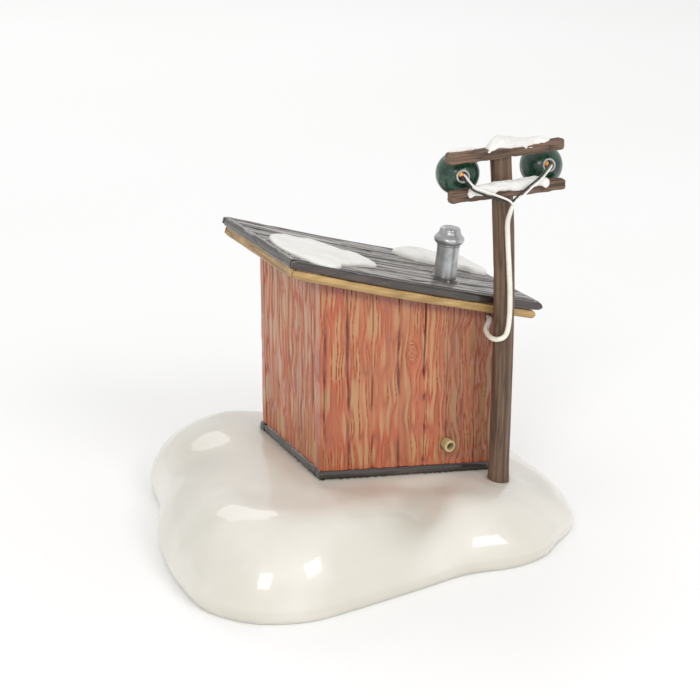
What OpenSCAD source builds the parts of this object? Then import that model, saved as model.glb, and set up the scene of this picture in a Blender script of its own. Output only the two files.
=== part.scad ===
// Glazed miniature of an ice fishing hut: a board hut with a shed roof on a mound
// of snow, with a stovepipe and a post that carries two lamps.
// Millimetres, +Z up. The origin is the centre of the snow base's underside, the
// back of the hut with the post faces -Y and the door faces +Y.

/* [Snow base] */
// Width of the snow base, left to right
base_w = 129; // [122:1:160]
// Depth of the snow base, back to front
base_d = 120; // [112:1:150]
// Height of the snow beside the low wall of the hut
base_h = 15; // [12:0.5:22]
// Rise of the snow for each mm toward the high wall
snow_grade = 0.135; // [0.05:0.005:0.16]
// Width of the rounded shoulder all round the base
shoulder = 24; // [16:1:26]

/* [Hut] */
// Outside width of the hut, along the fall of the roof
hut_w = 58; // [48:1:70]
// Outside depth of the hut
hut_d = 43; // [36:1:52]
// Height of the low wall and its sill, from the snow to the roof's underside
hut_h = 53; // [46:1:64]
// Thickness of the walls
wall_t = 3; // [2:0.25:4]
// Width of one wall board
board_w = 8; // [6:0.5:12]
// Height of the dark sill under the walls
sill_h = 2.5; // [2:0.25:4]

/* [Door and window] */
// Width of the door opening
door_w = 19; // [15:0.5:22]
// Height of the door opening
door_h = 43; // [36:1:45]
// Width of the window opening
window_w = 13; // [9:0.5:15]
// Height of the window opening
window_h = 12; // [8:0.5:16]

/* [Roof] */
// Fall of the roof toward the low wall, in degrees
roof_fall = 16.6; // [10:0.1:20]
// Thickness of the roof boards
roof_t = 2.7; // [2:0.1:4]
// Overhang past the low wall
low_overhang = 12.7; // [6:0.1:15]
// Overhang past the high wall
high_overhang = 9.5; // [5:0.1:12]
// Overhang past the back and front walls
verge_overhang = 4; // [3:0.1:5]
// Depth of the tan boards under the roof's edge
rake_h = 2.7; // [2:0.1:4]

/* [Stovepipe] */
// Diameter of the stovepipe
pipe_d = 6.7; // [5:0.1:8]
// Height of the stovepipe above the roof
pipe_h = 16; // [12:0.5:22]
// Lean of the stovepipe toward the low wall, in degrees
pipe_lean = 6; // [0:0.5:8]

/* [Lamp post] */
// Diameter of the post
post_d = 6.4; // [5:0.1:8]
// Height of the post above the snow
post_h = 101; // [92:1:120]
// Length of each cross arm
arm_l = 37; // [32:0.5:44]
// Height of a cross arm's section
arm_h = 3.5; // [3:0.1:4.5]
// Tilt of the upper cross arm, up toward the low wall, in degrees
upper_tilt = 1.4; // [0:0.1:3]
// Outside diameter of a lamp shade
lamp_d = 12.4; // [10:0.1:15]
// Diameter of the lamp lead on the post
lead_d = 1.6; // [1.2:0.1:1.8]

/* [Hidden] */
$fn = 48;
eps = 0.01;
// How far a cutting shape runs past what it cuts, and the height of an upright cut
over = 1;
cut_h = 200;

glaze_white = "#e9e5da";
timber_brown = "#4a3a30";
wall_orange = "#cf7f58";
board_tan = "#b8965f";
roof_grey = "#8d8a86";
snow_white = "#f2f0ea";
pipe_silver = "#a9adb1";
post_brown = "#6f5a4b";
lamp_green = "#1f4a35";
lead_white = "#f4f4ee";
bulb_amber = "#e0a63c";
pane_amber = "#f3d58a";
lead_black = "#2b2a2a";

// The hut's plan: the low wall faces +X, the back wall faces -Y
hut_x1 = 40;
hut_x0 = hut_x1 - hut_w;
hut_y0 = -21;
hut_y1 = hut_y0 + hut_d;
sill_proud = 0.6;
seat_depth = 0.6;
seat_gap = 0.2;

// The roof's top plane passes through its low edge at roof_x1, roof_z1
roof_x1 = hut_x1 + low_overhang;
roof_x0 = hut_x0 - high_overhang;
roof_y0 = hut_y0 - verge_overhang;
roof_y1 = hut_y1 + verge_overhang;
roof_z1 = snow_z(hut_x1) + hut_h + roof_t / cos(roof_fall) - low_overhang * tan(roof_fall);
roof_boards = 5;
roof_len = (roof_x1 - roof_x0) / cos(roof_fall);
// Edge strips, and the thinner boards set back and cut short under them
trim_t = 1.8;
rake_t = 1.4;
rake_set = 0.5;
rake_short = 1.3;

// The snow's slanted plane round the hut, level again past the high wall
function snow_z(x) = base_h + snow_grade * (hut_x1 - 1.5 - max(x, hut_x0 - 3));
function sill_z(x) = snow_z(x) + sill_h;
function soffit_z(x) = roof_z1 + (roof_x1 - x) * tan(roof_fall) - roof_t / cos(roof_fall);

// Curves: a closed or open smooth line through points, n steps to a span
function bend(a, b, c, d, t) =
    0.5 * (2 * b + (c - a) * t + (2 * a - 5 * b + 4 * c - d) * t * t
    + (3 * b - 3 * c + d - a) * t * t * t);
function loop_line(p, n) = let (k = len(p))
    [for (i = [0:k - 1], s = [0:n - 1])
        bend(p[(i + k - 1) % k], p[i], p[(i + 1) % k], p[(i + 2) % k], s / n)];
function open_line(p, n) = let (k = len(p) - 1)
    [for (i = [0:k - 1], s = [0:(i == k - 1 ? n : n - 1)])
        bend(p[max(i - 1, 0)], p[i], p[i + 1], p[min(i + 2, k)], s / n)];
function unit(v) = v / norm(v);

// A closed skin over rings of points, all rings of one length, flat at both ends
module skin(rings) {
    n = len(rings[0]);
    m = len(rings);
    polyhedron(
        points = [for (r = rings, p = r) p],
        faces = concat(
            [[for (j = [0:n - 1]) j]],
            [for (i = [0:m - 2], j = [0:n - 1])
                each let (a = i * n + j, b = i * n + (j + 1) % n)
                    [[a, a + n, b], [b, a + n, b + n]]],
            [[for (j = [n - 1:-1:0]) (m - 1) * n + j]]),
        convexity = 8);
}

// A round lead of radius r along the smooth line through points
module lead(points, r, steps, ref) {
    line = open_line(points, steps);
    last = len(line) - 1;
    skin([for (i = [0:last])
        let (t = unit(line[min(i + 1, last)] - line[max(i - 1, 0)]),
             u = unit(cross(t, ref)), v = cross(t, u))
        [for (k = [0:9]) line[i] + r * (u * cos(36 * k) + v * sin(36 * k))]]);
}

/* Snow base */

post_clear = 0.5;
post_hole_h = 40;
hut_cut_h = 20;

// Plan of the base, in halves of its width and depth
base_plan = [
    [-0.985, -0.23], [-1.00, -0.45], [-0.975, -0.70], [-0.84, -0.90],
    [-0.62, -1.00], [-0.38, -0.99], [-0.06, -0.95], [0.19, -0.917],
    [0.43, -0.95], [0.60, -0.915], [0.715, -0.825], [0.84, -0.73],
    [0.91, -0.575], [0.955, -0.41], [0.98, -0.20], [0.99, 0.13],
    [1.00, 0.43], [0.92, 0.73], [0.70, 0.92], [0.33, 1.00],
    [-0.08, 0.95], [-0.39, 0.99], [-0.61, 0.90], [-0.745, 0.70],
    [-0.80, 0.43], [-0.84, 0.28], [-0.935, 0.03]
];
lip_z = 4;
door_fall = 0.08;
door_fall_gap = 4;

// The snow plane with a gentle fall in front of the door
function field_z(x, y) = snow_z(x) 
    - door_fall * max(0, y - hut_y1 - door_fall_gap);
function lift(t) = pow(1 - pow(1 - t, 2.2), 0.62);

function fitted_plan() = let (
    p = loop_line(base_plan, 3),
    x0 = min([for (q = p) q.x]), x1 = max([for (q = p) q.x]),
    y0 = min([for (q = p) q.y]), y1 = max([for (q = p) q.y]))
    [for (q = p) [
        base_w * ((q.x - x0) / (x1 - x0) - 0.5),
        base_d * ((q.y - y0) / (y1 - y0) - 0.5)]];

function inset(q, d) = q * (1 - d / norm(q));

module base_mound() {
    plan = fitted_plan();
    foot = [for (s = [[1.6, 0], [0.4, 2], [0, lip_z]])
        [for (q = plan) let (p = inset(q, s[0])) [p.x, p.y, s[1]]]];
    slope = [for (t = [0.03, 0.09, 0.18, 0.32, 0.5, 0.75, 1])
        [for (q = plan) let (p = inset(q, t * shoulder))
            [p.x, p.y, lip_z + (field_z(p.x, p.y) - lip_z) * lift(t)]]];
    field = [for (f = [0.6, 0.3, 0.05])
        [for (q = plan) let (p = inset(q, shoulder) * f) [p.x, p.y, field_z(p.x, p.y)]]];
    skin(concat(foot, slope, field));
}

// A prism over the hut's plan between two sloped planes, grown by g
module plan_prism(g, low, high) {
    translate([0, hut_y1 + g, 0])
        rotate([90, 0, 0])
            linear_extrude(hut_d + 2 * g)
                polygon([
                    [hut_x0 - g, snow_z(hut_x0 - g) + low],
                    [hut_x1 + g, snow_z(hut_x1 + g) + low],
                    [hut_x1 + g, snow_z(hut_x1 + g) + high],
                    [hut_x0 - g, snow_z(hut_x0 - g) + high]]);
}

module snow_base() {
    color(glaze_white)
        difference() {
            base_mound();
            plan_prism(sill_proud + seat_gap, -seat_depth, hut_cut_h);
            translate([post_foot.x, post_foot.y, post_seat_z])
                cylinder(d = post_d + post_clear, h = post_hole_h);
        }
}

/* Hut */

// A board in the XZ plane from x0 to x1 between sill and roof, y0 to y1
module upright(x0, x1, y0, y1, low) {
    translate([0, y1, 0])
        rotate([90, 0, 0])
            linear_extrude(y1 - y0)
                polygon([
                    [x0, snow_z(x0) + low], [x1, snow_z(x1) + low],
                    [x1, soffit_z(x1)], [x0, soffit_z(x0)]]);
}

module sill(x0, x1, y0, y1) {
    color(timber_brown)
        translate([0, y1, 0])
            rotate([90, 0, 0])
                linear_extrude(y1 - y0)
                    polygon([
                        [x0, snow_z(x0) - seat_depth], [x1, snow_z(x1) - seat_depth],
                        [x1, sill_z(x1)], [x0, sill_z(x0)]]);
}

module back_sill() {
    sill(hut_x0 - sill_proud, hut_x1 + sill_proud, hut_y0 - sill_proud, hut_y0 + wall_t);
}

module front_sill() {
    sill(hut_x0 - sill_proud, hut_x1 + sill_proud, hut_y1 - wall_t, hut_y1 + sill_proud);
}

module high_sill() {
    sill(hut_x0 - sill_proud, hut_x0 + wall_t, hut_y0 + wall_t, hut_y1 - wall_t);
}

module low_sill() {
    sill(hut_x1 - wall_t, hut_x1 + sill_proud, hut_y0 + wall_t, hut_y1 - wall_t);
}

groove_w = 0.6;
groove_d = 0.4;

// Joints between the boards of a wall that faces along Y, cut in the face at y
module joints_y(y) {
    for (x = [hut_x1 - board_w : -board_w : hut_x0 + board_w / 3])
        translate([x - groove_w / 2, y - groove_d, 0])
            cube([groove_w, 2 * groove_d, cut_h]);
}

// Joints between the boards of a wall that faces along X, cut in the face at x
module joints_x(x) {
    for (y = [hut_y0 + board_w : board_w : hut_y1 - board_w / 3])
        translate([x - groove_d, y - groove_w / 2, 0])
            cube([2 * groove_d, groove_w, cut_h]);
}

// Where the lead in the base of the wall and the lamp lead come in
inlet_x = hut_x1 - 17;
inlet_z = snow_z(inlet_x) + 9;
inlet_hole_d = 4.2;
lead_in_x = hut_x1 - 3.6;
lead_in_z = soffit_z(lead_in_x) - 5.2;
lead_hole_d = 2.6;

module back_wall() {
    color(wall_orange)
        difference() {
            upright(hut_x0, hut_x1, hut_y0, hut_y0 + wall_t, sill_h);
            joints_y(hut_y0);
            translate([inlet_x, hut_y0 - over, inlet_z])
                rotate([-90, 0, 0])
                    cylinder(d = inlet_hole_d, h = wall_t + 2 * over);
            translate([lead_in_x, hut_y0 - over, lead_in_z])
                rotate([-90, 0, 0])
                    cylinder(d = lead_hole_d, h = wall_t + 2 * over);
        }
}

// The door stands in from the high wall, the window in from the door and below its top
door_in = 9;
window_in = 9;
window_drop = 9;
door_x0 = hut_x0 + door_in;
door_x1 = door_x0 + door_w;
door_top = sill_z(door_x0) + door_h;
window_x0 = door_x1 + window_in;
window_z0 = door_top - window_drop - window_h;
casing_w = 2;
casing_t = 0.8;

module front_wall() {
    color(wall_orange)
        difference() {
            upright(hut_x0, hut_x1, hut_y1 - wall_t, hut_y1, sill_h);
            joints_y(hut_y1);
            translate([door_x0, hut_y1 - wall_t - over, 0])
                cube([door_w, wall_t + 2 * over, door_top]);
            translate([window_x0, hut_y1 - wall_t - over, window_z0])
                cube([window_w, wall_t + 2 * over, window_h]);
        }
}

module high_wall() {
    color(wall_orange)
        difference() {
            upright(hut_x0, hut_x0 + wall_t, hut_y0 + wall_t, hut_y1 - wall_t, sill_h);
            joints_x(hut_x0);
        }
}

module low_wall() {
    color(wall_orange)
        difference() {
            upright(hut_x1 - wall_t, hut_x1, hut_y0 + wall_t, hut_y1 - wall_t, sill_h);
            joints_x(hut_x1);
        }
}

door_gap = 0.15;
door_t = 1.6;
door_set = 0.4;
door_boards = 4;
door_groove_w = 0.5;
door_groove_d = 0.3;
knob_in = 2.4;
knob_up = 0.44;
knob_d = 1.4;
knob_h = 1.2;

module door_leaf() {
    x0 = door_x0 + door_gap;
    x1 = door_x1 - door_gap;
    y1 = hut_y1 - door_set;
    color(post_brown)
        difference() {
            union() {
                translate([0, y1, 0])
                    rotate([90, 0, 0])
                        linear_extrude(door_t)
                            polygon([
                                [x0, sill_z(x0)], [x1, sill_z(x1)],
                                [x1, door_top - door_gap], [x0, door_top - door_gap]]);
                translate([x0 + knob_in, y1 - eps, door_top - door_h * (1 - knob_up)])
                    rotate([-90, 0, 0])
                        cylinder(d = knob_d, h = knob_h);
            }
            for (k = [1:door_boards - 1])
                translate([x0 + k * (x1 - x0) / door_boards - door_groove_w / 2,
                    y1 - door_groove_d, 0])
                    cube([door_groove_w, over, cut_h]);
        }
}

module door_frame() {
    color(timber_brown)
        translate([0, hut_y1 + casing_t, 0])
            rotate([90, 0, 0])
                linear_extrude(casing_t)
                    polygon([
                        [door_x0 - casing_w, sill_z(door_x0 - casing_w)],
                        [door_x0, sill_z(door_x0)],
                        [door_x0, door_top], [door_x1, door_top],
                        [door_x1, sill_z(door_x1)],
                        [door_x1 + casing_w, sill_z(door_x1 + casing_w)],
                        [door_x1 + casing_w, door_top + casing_w],
                        [door_x0 - casing_w, door_top + casing_w]]);
}

bar_t = 1;
pane_t = 0.8;
pane_gap = 0.1;

module window_frame() {
    color(timber_brown)
        translate([window_x0, hut_y1, window_z0]) {
            difference() {
                translate([-casing_w, 0, -casing_w])
                    cube([window_w + 2 * casing_w, casing_t, window_h + 2 * casing_w]);
                translate([bar_t, -over, bar_t])
                    cube([window_w - 2 * bar_t, casing_t + 2 * over, window_h - 2 * bar_t]);
            }
            translate([(window_w - bar_t) / 2, 0, 0])
                cube([bar_t, casing_t, window_h]);
            translate([0, 0, (window_h - bar_t) / 2])
                cube([window_w, casing_t, bar_t]);
        }
}

module window_pane() {
    color(pane_amber)
        translate([window_x0 + pane_gap, hut_y1 - pane_t, window_z0 + pane_gap])
            cube([window_w - 2 * pane_gap, pane_t, window_h - 2 * pane_gap]);
}

/* Roof */

// Roof coordinates: x runs down the fall to 0 at the low edge, z is square to the boards
module on_roof() {
    translate([roof_x1, 0, roof_z1])
        rotate([0, roof_fall, 0])
            children();
}

deck_y0 = roof_y0 + trim_t;
deck_y1 = roof_y1 - trim_t;
deck_w = (deck_y1 - deck_y0) / roof_boards;

module roof_board(i) {
    if (i <= roof_boards)
        color(roof_grey)
            on_roof()
                translate([trim_t - roof_len, deck_y0 + (i - 1) * deck_w, -roof_t])
                    cube([roof_len - 2 * trim_t, deck_w, roof_t]);
}

module roof_board_1() { roof_board(1); }
module roof_board_2() { roof_board(2); }
module roof_board_3() { roof_board(3); }
module roof_board_4() { roof_board(4); }
module roof_board_5() { roof_board(5); }

// A strip along the fall with its low end rounded
module strip(x0, x1, y0, t, top, h) {
    on_roof()
        translate([0, y0 + t, top - h])
            rotate([90, 0, 0])
                linear_extrude(t) {
                    translate([x0, 0])
                        square([x1 - x0 - h / 2, h]);
                    translate([x1 - h / 2, h / 2])
                        circle(d = h);
                }
}

// A strip across the low or high end, let in between two long strips that reach in by side
module cross_strip(x0, x1, side, top, h) {
    on_roof()
        translate([x0, roof_y0 + side, top - h])
            cube([x1 - x0, roof_y1 - roof_y0 - 2 * side, h]);
}

module back_verge_trim() {
    color(timber_brown) strip(-roof_len, 0, roof_y0, trim_t, 0, roof_t);
}

module front_verge_trim() {
    color(timber_brown) strip(-roof_len, 0, roof_y1 - trim_t, trim_t, 0, roof_t);
}

module low_eave_trim() {
    color(timber_brown)
        on_roof()
            translate([0, deck_y1, -roof_t])
                rotate([90, 0, 0])
                    linear_extrude(deck_y1 - deck_y0)
                        intersection() {
                            translate([-trim_t, 0])
                                square([trim_t, roof_t]);
                            translate([-roof_t / 2, roof_t / 2])
                                union() {
                                    circle(d = roof_t);
                                    translate([-roof_t, -roof_t / 2])
                                        square([roof_t, roof_t]);
                                }
                        }
}

module high_eave_trim() {
    color(timber_brown) cross_strip(-roof_len, trim_t - roof_len, trim_t, 0, roof_t);
}

module back_rake_board() {
    color(board_tan)
        strip(rake_short - roof_len, -rake_short, roof_y0 + rake_set, rake_t, -roof_t, rake_h);
}

module front_rake_board() {
    color(board_tan)
        strip(rake_short - roof_len, -rake_short, roof_y1 - rake_set - rake_t, rake_t,
            -roof_t, rake_h);
}

module low_eave_board() {
    color(board_tan)
        cross_strip(-rake_short - rake_h / 2 - rake_t, -rake_short - rake_h / 2,
            rake_set + rake_t, -roof_t, rake_h);
}

module high_eave_board() {
    color(board_tan)
        cross_strip(rake_short - roof_len, rake_short + rake_t - roof_len,
            rake_set + rake_t, -roof_t, rake_h);
}

// A snow patch's rings: the outline's size and the height, as parts of the whole
patch_rings = [[1, 0], [1, 0.25], [0.97, 0.55], [0.88, 0.85], [0.7, 1], [0.1, 1.05]];

// A domed patch of snow on the roof; its outline is in parts of the roof's
// length up from the low edge and of its depth from the back edge
module roof_patch(outline, h) {
    plan = [for (q = loop_line(outline, 4))
        [-q.x * roof_len, roof_y0 + q.y * (roof_y1 - roof_y0)]];
    mid = [for (k = [0, 1]) (min([for (q = plan) q[k]]) + max([for (q = plan) q[k]])) / 2];
    color(snow_white)
        on_roof()
            skin([for (s = patch_rings)
                [for (q = plan) let (p = mid + (q - mid) * s[0]) [p.x, p.y, s[1] * h]]]);
}

module high_roof_snow() {
    roof_patch([
        [0.862, 0.012], [0.812, 0.04], [0.787, 0.12], [0.733, 0.165], [0.669, 0.225],
        [0.609, 0.255], [0.58, 0.35], [0.582, 0.46], [0.604, 0.54], [0.649, 0.56],
        [0.689, 0.63], [0.753, 0.69], [0.862, 0.68], [0.951, 0.52], [0.975, 0.25],
        [0.931, 0.05]], 1.6);
}

module low_roof_snow() {
    roof_patch([
        [0.357, 0.82], [0.323, 0.74], [0.288, 0.675], [0.209, 0.655], [0.13, 0.65],
        [0.095, 0.585], [0.046, 0.575], [0.023, 0.63], [0.021, 0.80], [0.027, 0.965],
        [0.061, 0.99], [0.16, 0.99], [0.249, 0.965], [0.318, 0.90]], 1.7);
}

/* Stovepipe */

pipe_x = hut_x1 - 13.2;
pipe_y = -11.6;
pipe_roof_z = roof_z1 + (roof_x1 - pipe_x) * tan(roof_fall);
collar_h = 1.2;
collar_out = 1.1;
collar_clear = 0.2;
// The pipe is drawn from below the boards, and the cap starts part of the way up
pipe_sunk = 6;
pipe_space = 60;
cap_z = pipe_h * 0.66;
cap_round = 0.8;
cap_ring_round = 1.5;
cap_ring_z = 1.8;

// The space above the boards, for pieces that stand on the roof
module above_roof(h) {
    on_roof()
        translate([-roof_len, roof_y0, 0])
            cube([roof_len, roof_y1 - roof_y0, h]);
}

module on_pipe() {
    translate([pipe_x, pipe_y, pipe_roof_z])
        rotate([0, pipe_lean, 0])
            children();
}

module stovepipe() {
    color(pipe_silver)
        intersection() {
            on_pipe()
                translate([0, 0, -pipe_sunk])
                    cylinder(d = pipe_d, h = cap_z + pipe_sunk);
            above_roof(pipe_space);
        }
}

module stovepipe_collar() {
    color(timber_brown)
        difference() {
            intersection() {
                on_pipe()
                    translate([0, 0, -pipe_sunk])
                        cylinder(d = pipe_d + 2 * collar_out, h = cap_z + pipe_sunk);
                above_roof(collar_h);
            }
            on_pipe()
                translate([0, 0, -pipe_sunk - over])
                    cylinder(d = pipe_d + 2 * collar_clear, h = cap_z + pipe_sunk + 2 * over);
        }
}

module stovepipe_cap() {
    ring_r = pipe_d * 0.67;
    top_r = pipe_d * 0.45;
    color(pipe_silver)
        on_pipe()
            translate([0, 0, cap_z])
                rotate_extrude()
                    union() {
                        square([top_r, pipe_h - cap_z - cap_round]);
                        square([top_r - cap_round, pipe_h - cap_z]);
                        translate([top_r - cap_round, pipe_h - cap_z - cap_round])
                            circle(r = cap_round);
                        translate([0, cap_ring_z - cap_ring_round])
                            square([ring_r - cap_ring_round, 2 * cap_ring_round]);
                        translate([ring_r - cap_ring_round, cap_ring_z])
                            circle(r = cap_ring_round);
                    }
}

/* Lamp post */

// The post clears the roof's edge, is sunk in the snow and bends at post_mid
post_gap = 0.4;
post_sunk = 6;
post_foot = [hut_x1 - 3.2, roof_y0 - post_gap - post_d / 2];
post_seat_z = base_h - post_sunk;
post_mid = [hut_x1 - 3.3, post_foot.y, base_h + post_h * 0.585];
post_top = [hut_x1 - 6, post_foot.y, base_h + post_h];

// Where the post's centre stands at height z, above its bend
function post_x(z) = post_mid.x + (post_top.x - post_mid.x)
    * (z - post_mid.z) / (post_top.z - post_mid.z);

// The arms are let into the post's back; the upper one stands proud of its top
arm_t = 3.4;
arm_back = 1.2;
upper_proud = 1.6;
arm_gap = 11.3;
arm_y1 = post_foot.y - arm_back;
arm_y0 = arm_y1 - arm_t;
upper_z = post_top.z - arm_h / 2 + upper_proud;
lower_z = upper_z - arm_gap;
upper_x = post_top.x - 0.1;
lower_x = post_top.x + 0.9;

// Arm coordinates: the arm lies along x, centred on 0
module on_arm(x, z, tilt) {
    translate([x, 0, z])
        rotate([0, -tilt, 0])
            children();
}

module arm_notch(x, z, tilt) {
    on_arm(x, z, tilt)
        translate([-arm_l / 2, arm_y0 - post_d, -arm_h / 2])
            cube([arm_l, arm_t + post_d, arm_h]);
}

// A slightly crooked round pole, notched where the arms cross it
module lamp_post() {
    line = open_line([
        [post_foot.x, post_foot.y, post_seat_z], [post_foot.x, post_foot.y, base_h + 12],
        post_mid, post_top], 4);
    color(post_brown)
        difference() {
            skin([for (p = line) [for (a = [0:10:350])
                p + post_d / 2 * [cos(a), sin(a), 0]]]);
            arm_notch(upper_x, upper_z, upper_tilt);
            arm_notch(lower_x, lower_z, 0);
        }
}

arm_round = 1;

// A cross arm with rounded ends
module arm(x, z, tilt) {
    color(post_brown)
        on_arm(x, z, tilt)
            translate([0, arm_y1, 0])
                rotate([90, 0, 0])
                    linear_extrude(arm_t)
                        union() {
                            square([arm_l - 2 * arm_round, arm_h], center = true);
                            square([arm_l, arm_h - 2 * arm_round], center = true);
                            for (sx = [-1, 1], sz = [-1, 1])
                                translate([sx * (arm_l / 2 - arm_round),
                                    sz * (arm_h / 2 - arm_round)])
                                    circle(r = arm_round);
                        }
}

module upper_crossarm() { arm(upper_x, upper_z, upper_tilt); }
module lower_crossarm() { arm(lower_x, lower_z, 0); }

snow_clear = 0.3;
snow_cut_h = 5;
snow_touch = 0.1;

// A ridge of snow lying round an arm: points along the arm, in y, and in height
// above the arm's top, with the ridge's radius
module arm_snow(points, x, z, tilt) {
    color(snow_white)
        difference() {
            on_arm(x, z, tilt)
                difference() {
                    for (i = [0:len(points) - 2])
                        hull()
                            for (p = [points[i], points[i + 1]])
                                translate([p[0], p[1], arm_h / 2 + p[2]])
                                    sphere(r = p[3], $fn = 16);
                    translate([-arm_l, arm_y0, -2 * arm_h])
                        cube([2 * arm_l, 2 * arm_t, 2.5 * arm_h]);
                    translate([-arm_l, arm_y1 - snow_touch, -arm_l])
                        cube([2 * arm_l, arm_l, 2 * arm_l]);
                }
            translate([post_x(z), post_foot.y, z])
                cylinder(d = post_d + 2 * snow_clear, h = min(snow_cut_h, post_top.z - z));
        }
}

module upper_arm_snow() {
    y = (arm_y0 + arm_y1) / 2 - 0.2;
    arm_snow([
        [-5.4, y - 0.4, 0.2, 1.3], [-2.6, y, 1.6, 1.9], [-0.4, y, 1.0, 1.6],
        [4, y, -0.1, 1.6], [9, y, 0, 1.4], [14, y, -0.3, 1.1]],
        upper_x, upper_z, upper_tilt);
}

module lower_arm_snow() {
    y = arm_y0 + 0.6;
    arm_snow([
        [-13.5, y, -0.4, 1.2], [-9, y, -0.1, 1.3], [-5, y, 0.1, 1.5], [0, y, 0.2, 1.6],
        [5, y, 0, 1.5], [10, y, -0.1, 1.4], [12.5, y, -0.3, 1.1]],
        lower_x, lower_z, 0);
}

/* Lamps */

lamp_r = lamp_d / 2;
lamp_gap = 0.1;
lamp_y = arm_y1 + lamp_r + lamp_gap;
left_lamp = [upper_x - 0.284 * arm_l, lamp_y, post_top.z - 7.1];
right_lamp = [upper_x + 0.454 * arm_l, lamp_y, post_top.z - 7.7];
// Tip below level and turn about the upright, in degrees
left_aim = [5.5, -15];
right_aim = [13, -10];
// The shade is a globe open past shade_rim, with a hole behind for the rim and wires
shade_t = 0.8;
shade_rim = 1.2;
shade_hole_r = 1.8;
rim_r = 2.05;
rim_t = 0.6;
rim_out = 0.35;
neck_r = 1.65;
neck_h = 1.6;
rim_bore_r = 1.25;
bulb_r = 2.4;
bulb_z = -1;
bulb_in = 1.25;

// Lamp coordinates: the lamp shines along +z, tipped down and turned by its aim
module on_lamp(at, aim) {
    translate(at)
        rotate([0, 0, aim[1]])
            rotate([-90 - aim[0], 0, 0])
                children();
}

function lamp_back(at, aim, r) =
    at + r * [sin(aim[1]) * cos(aim[0]), -cos(aim[1]) * cos(aim[0]), sin(aim[0])];

module lamp_shade(at, aim) {
    color(lamp_green)
        on_lamp(at, aim)
            rotate_extrude()
                difference() {
                    circle(r = lamp_r);
                    circle(r = lamp_r - shade_t);
                    translate([-2 * lamp_r, -2 * lamp_r])
                        square([2 * lamp_r, 4 * lamp_r]);
                    translate([0, shade_rim])
                        square(2 * lamp_r);
                    translate([-over, -2 * lamp_r])
                        square([shade_hole_r + over, 4 * lamp_r]);
                }
}

module lamp_grommet(at, aim) {
    color(lead_white)
        on_lamp(at, aim)
            difference() {
                union() {
                    translate([0, 0, -lamp_r - rim_out])
                        cylinder(r = rim_r, h = rim_t);
                    translate([0, 0, -lamp_r - rim_out])
                        cylinder(r = neck_r, h = neck_h);
                }
                translate([0, 0, -lamp_r - rim_out - over])
                    cylinder(r = rim_bore_r, h = neck_h + 2 * over);
            }
}

module lamp_bulb(at, aim) {
    color(bulb_amber)
        on_lamp(at, aim)
            union() {
                translate([0, 0, bulb_in - lamp_r])
                    cylinder(r = neck_r, h = lamp_r - bulb_in + bulb_z);
                translate([0, 0, bulb_z])
                    sphere(r = bulb_r);
            }
}

module left_lamp_shade() { lamp_shade(left_lamp, left_aim); }
module right_lamp_shade() { lamp_shade(right_lamp, right_aim); }
module left_lamp_grommet() { lamp_grommet(left_lamp, left_aim); }
module right_lamp_grommet() { lamp_grommet(right_lamp, right_aim); }
module left_lamp_bulb() { lamp_bulb(left_lamp, left_aim); }
module right_lamp_bulb() { lamp_bulb(right_lamp, right_aim); }

/* Leads */

wire_r = 0.34;
joint = [post_top.x + 1.1, arm_y0 - 1.1, lower_z - 3.4];

// Routes of the four thin wires from the lamps to the joint: a part of the arm's
// length along it, then mm out and up from the joint
left_white = [
    [-0.354, -0.8, 6.8], [-0.27, -1.0, 5.15], [-0.154, -1.0, 3.4],
    [-0.065, -0.7, 1.9], [-0.02, -0.35, 0.8]];
left_black = [
    [-0.365, -0.7, 6.0], [-0.281, -0.9, 4.4], [-0.165, -0.6, 2.5],
    [-0.075, 0.15, 1.15], [-0.012, 0.45, 0.75]];
right_white = [
    [0.227, -0.8, 6.25], [0.138, -1.0, 4.25], [0.07, -0.7, 2.05],
    [0.02, -0.35, 0.8]];
right_black = [
    [0.2135, -0.8, 6.95], [0.123, -1.0, 4.9], [0.054, -0.25, 2.6],
    [0.011, 0.45, 0.75]];

module wire(at, aim, side, route) {
    a = lamp_back(at, aim, lamp_r - 0.4) + side;
    b = lamp_back(at, aim, lamp_r + 1.2) + side;
    lead(concat([a, b], [for (p = route) joint + [p.x * arm_l, p.y, p.z]]),
        wire_r, 5, [0.2, 0.1, 1]);
}

module lamp_wires() {
    left_side = [0.3, 0, 0.3];
    right_side = [0.25, 0, -0.35];
    color(lead_white) {
        wire(left_lamp, left_aim, left_side, left_white);
        wire(right_lamp, right_aim, right_side, right_white);
    }
    color(lead_black) {
        wire(left_lamp, left_aim, -left_side, left_black);
        wire(right_lamp, right_aim, -right_side, right_black);
    }
}

lead_r = lead_d / 2;
lead_gap = 0.1;
lead_y = post_foot.y - post_d / 2 - lead_r - lead_gap;

// The lead runs down the back of the post, turns up round its side and enters the wall
module down_lead() {
    // The lead runs a little off the post's middle and turns up past its side
    x = post_foot.x - 0.6;
    z = lead_in_z;
    turn_x = post_foot.x - post_d / 2 - lead_r - 0.5;
    color(lead_white)
        lead([
            joint + [0, 0, -0.3], joint + [-0.4, 0.4, -2.2], joint + [-0.7, 1.2, -5.4],
            [x - 1.3, lead_y, joint.z - 11], [x - 0.1, lead_y, z + 12],
            [x, lead_y, z + 3], [x - 1.0, lead_y - 0.1, z - 1.5],
            [turn_x + 0.9, lead_y + 0.9, z - 2.9], [turn_x, post_foot.y - 0.4, z - 3.0],
            [turn_x + 1.0, (post_foot.y + hut_y0) / 2, z - 2.3],
            [x - 1.2, hut_y0 - 2, z - 0.8],
            [lead_in_x - 0.1, hut_y0 - 0.4, z - 0.1], [lead_in_x, hut_y0 + 2, z]],
            lead_r, 4, [1, 1, -1]);
}

inlet_bore_r = 1.1;
inlet_stand = 2.4;
inlet_clear = 0.3;
flange_out = 0.8;
flange_t = 0.8;

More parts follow.
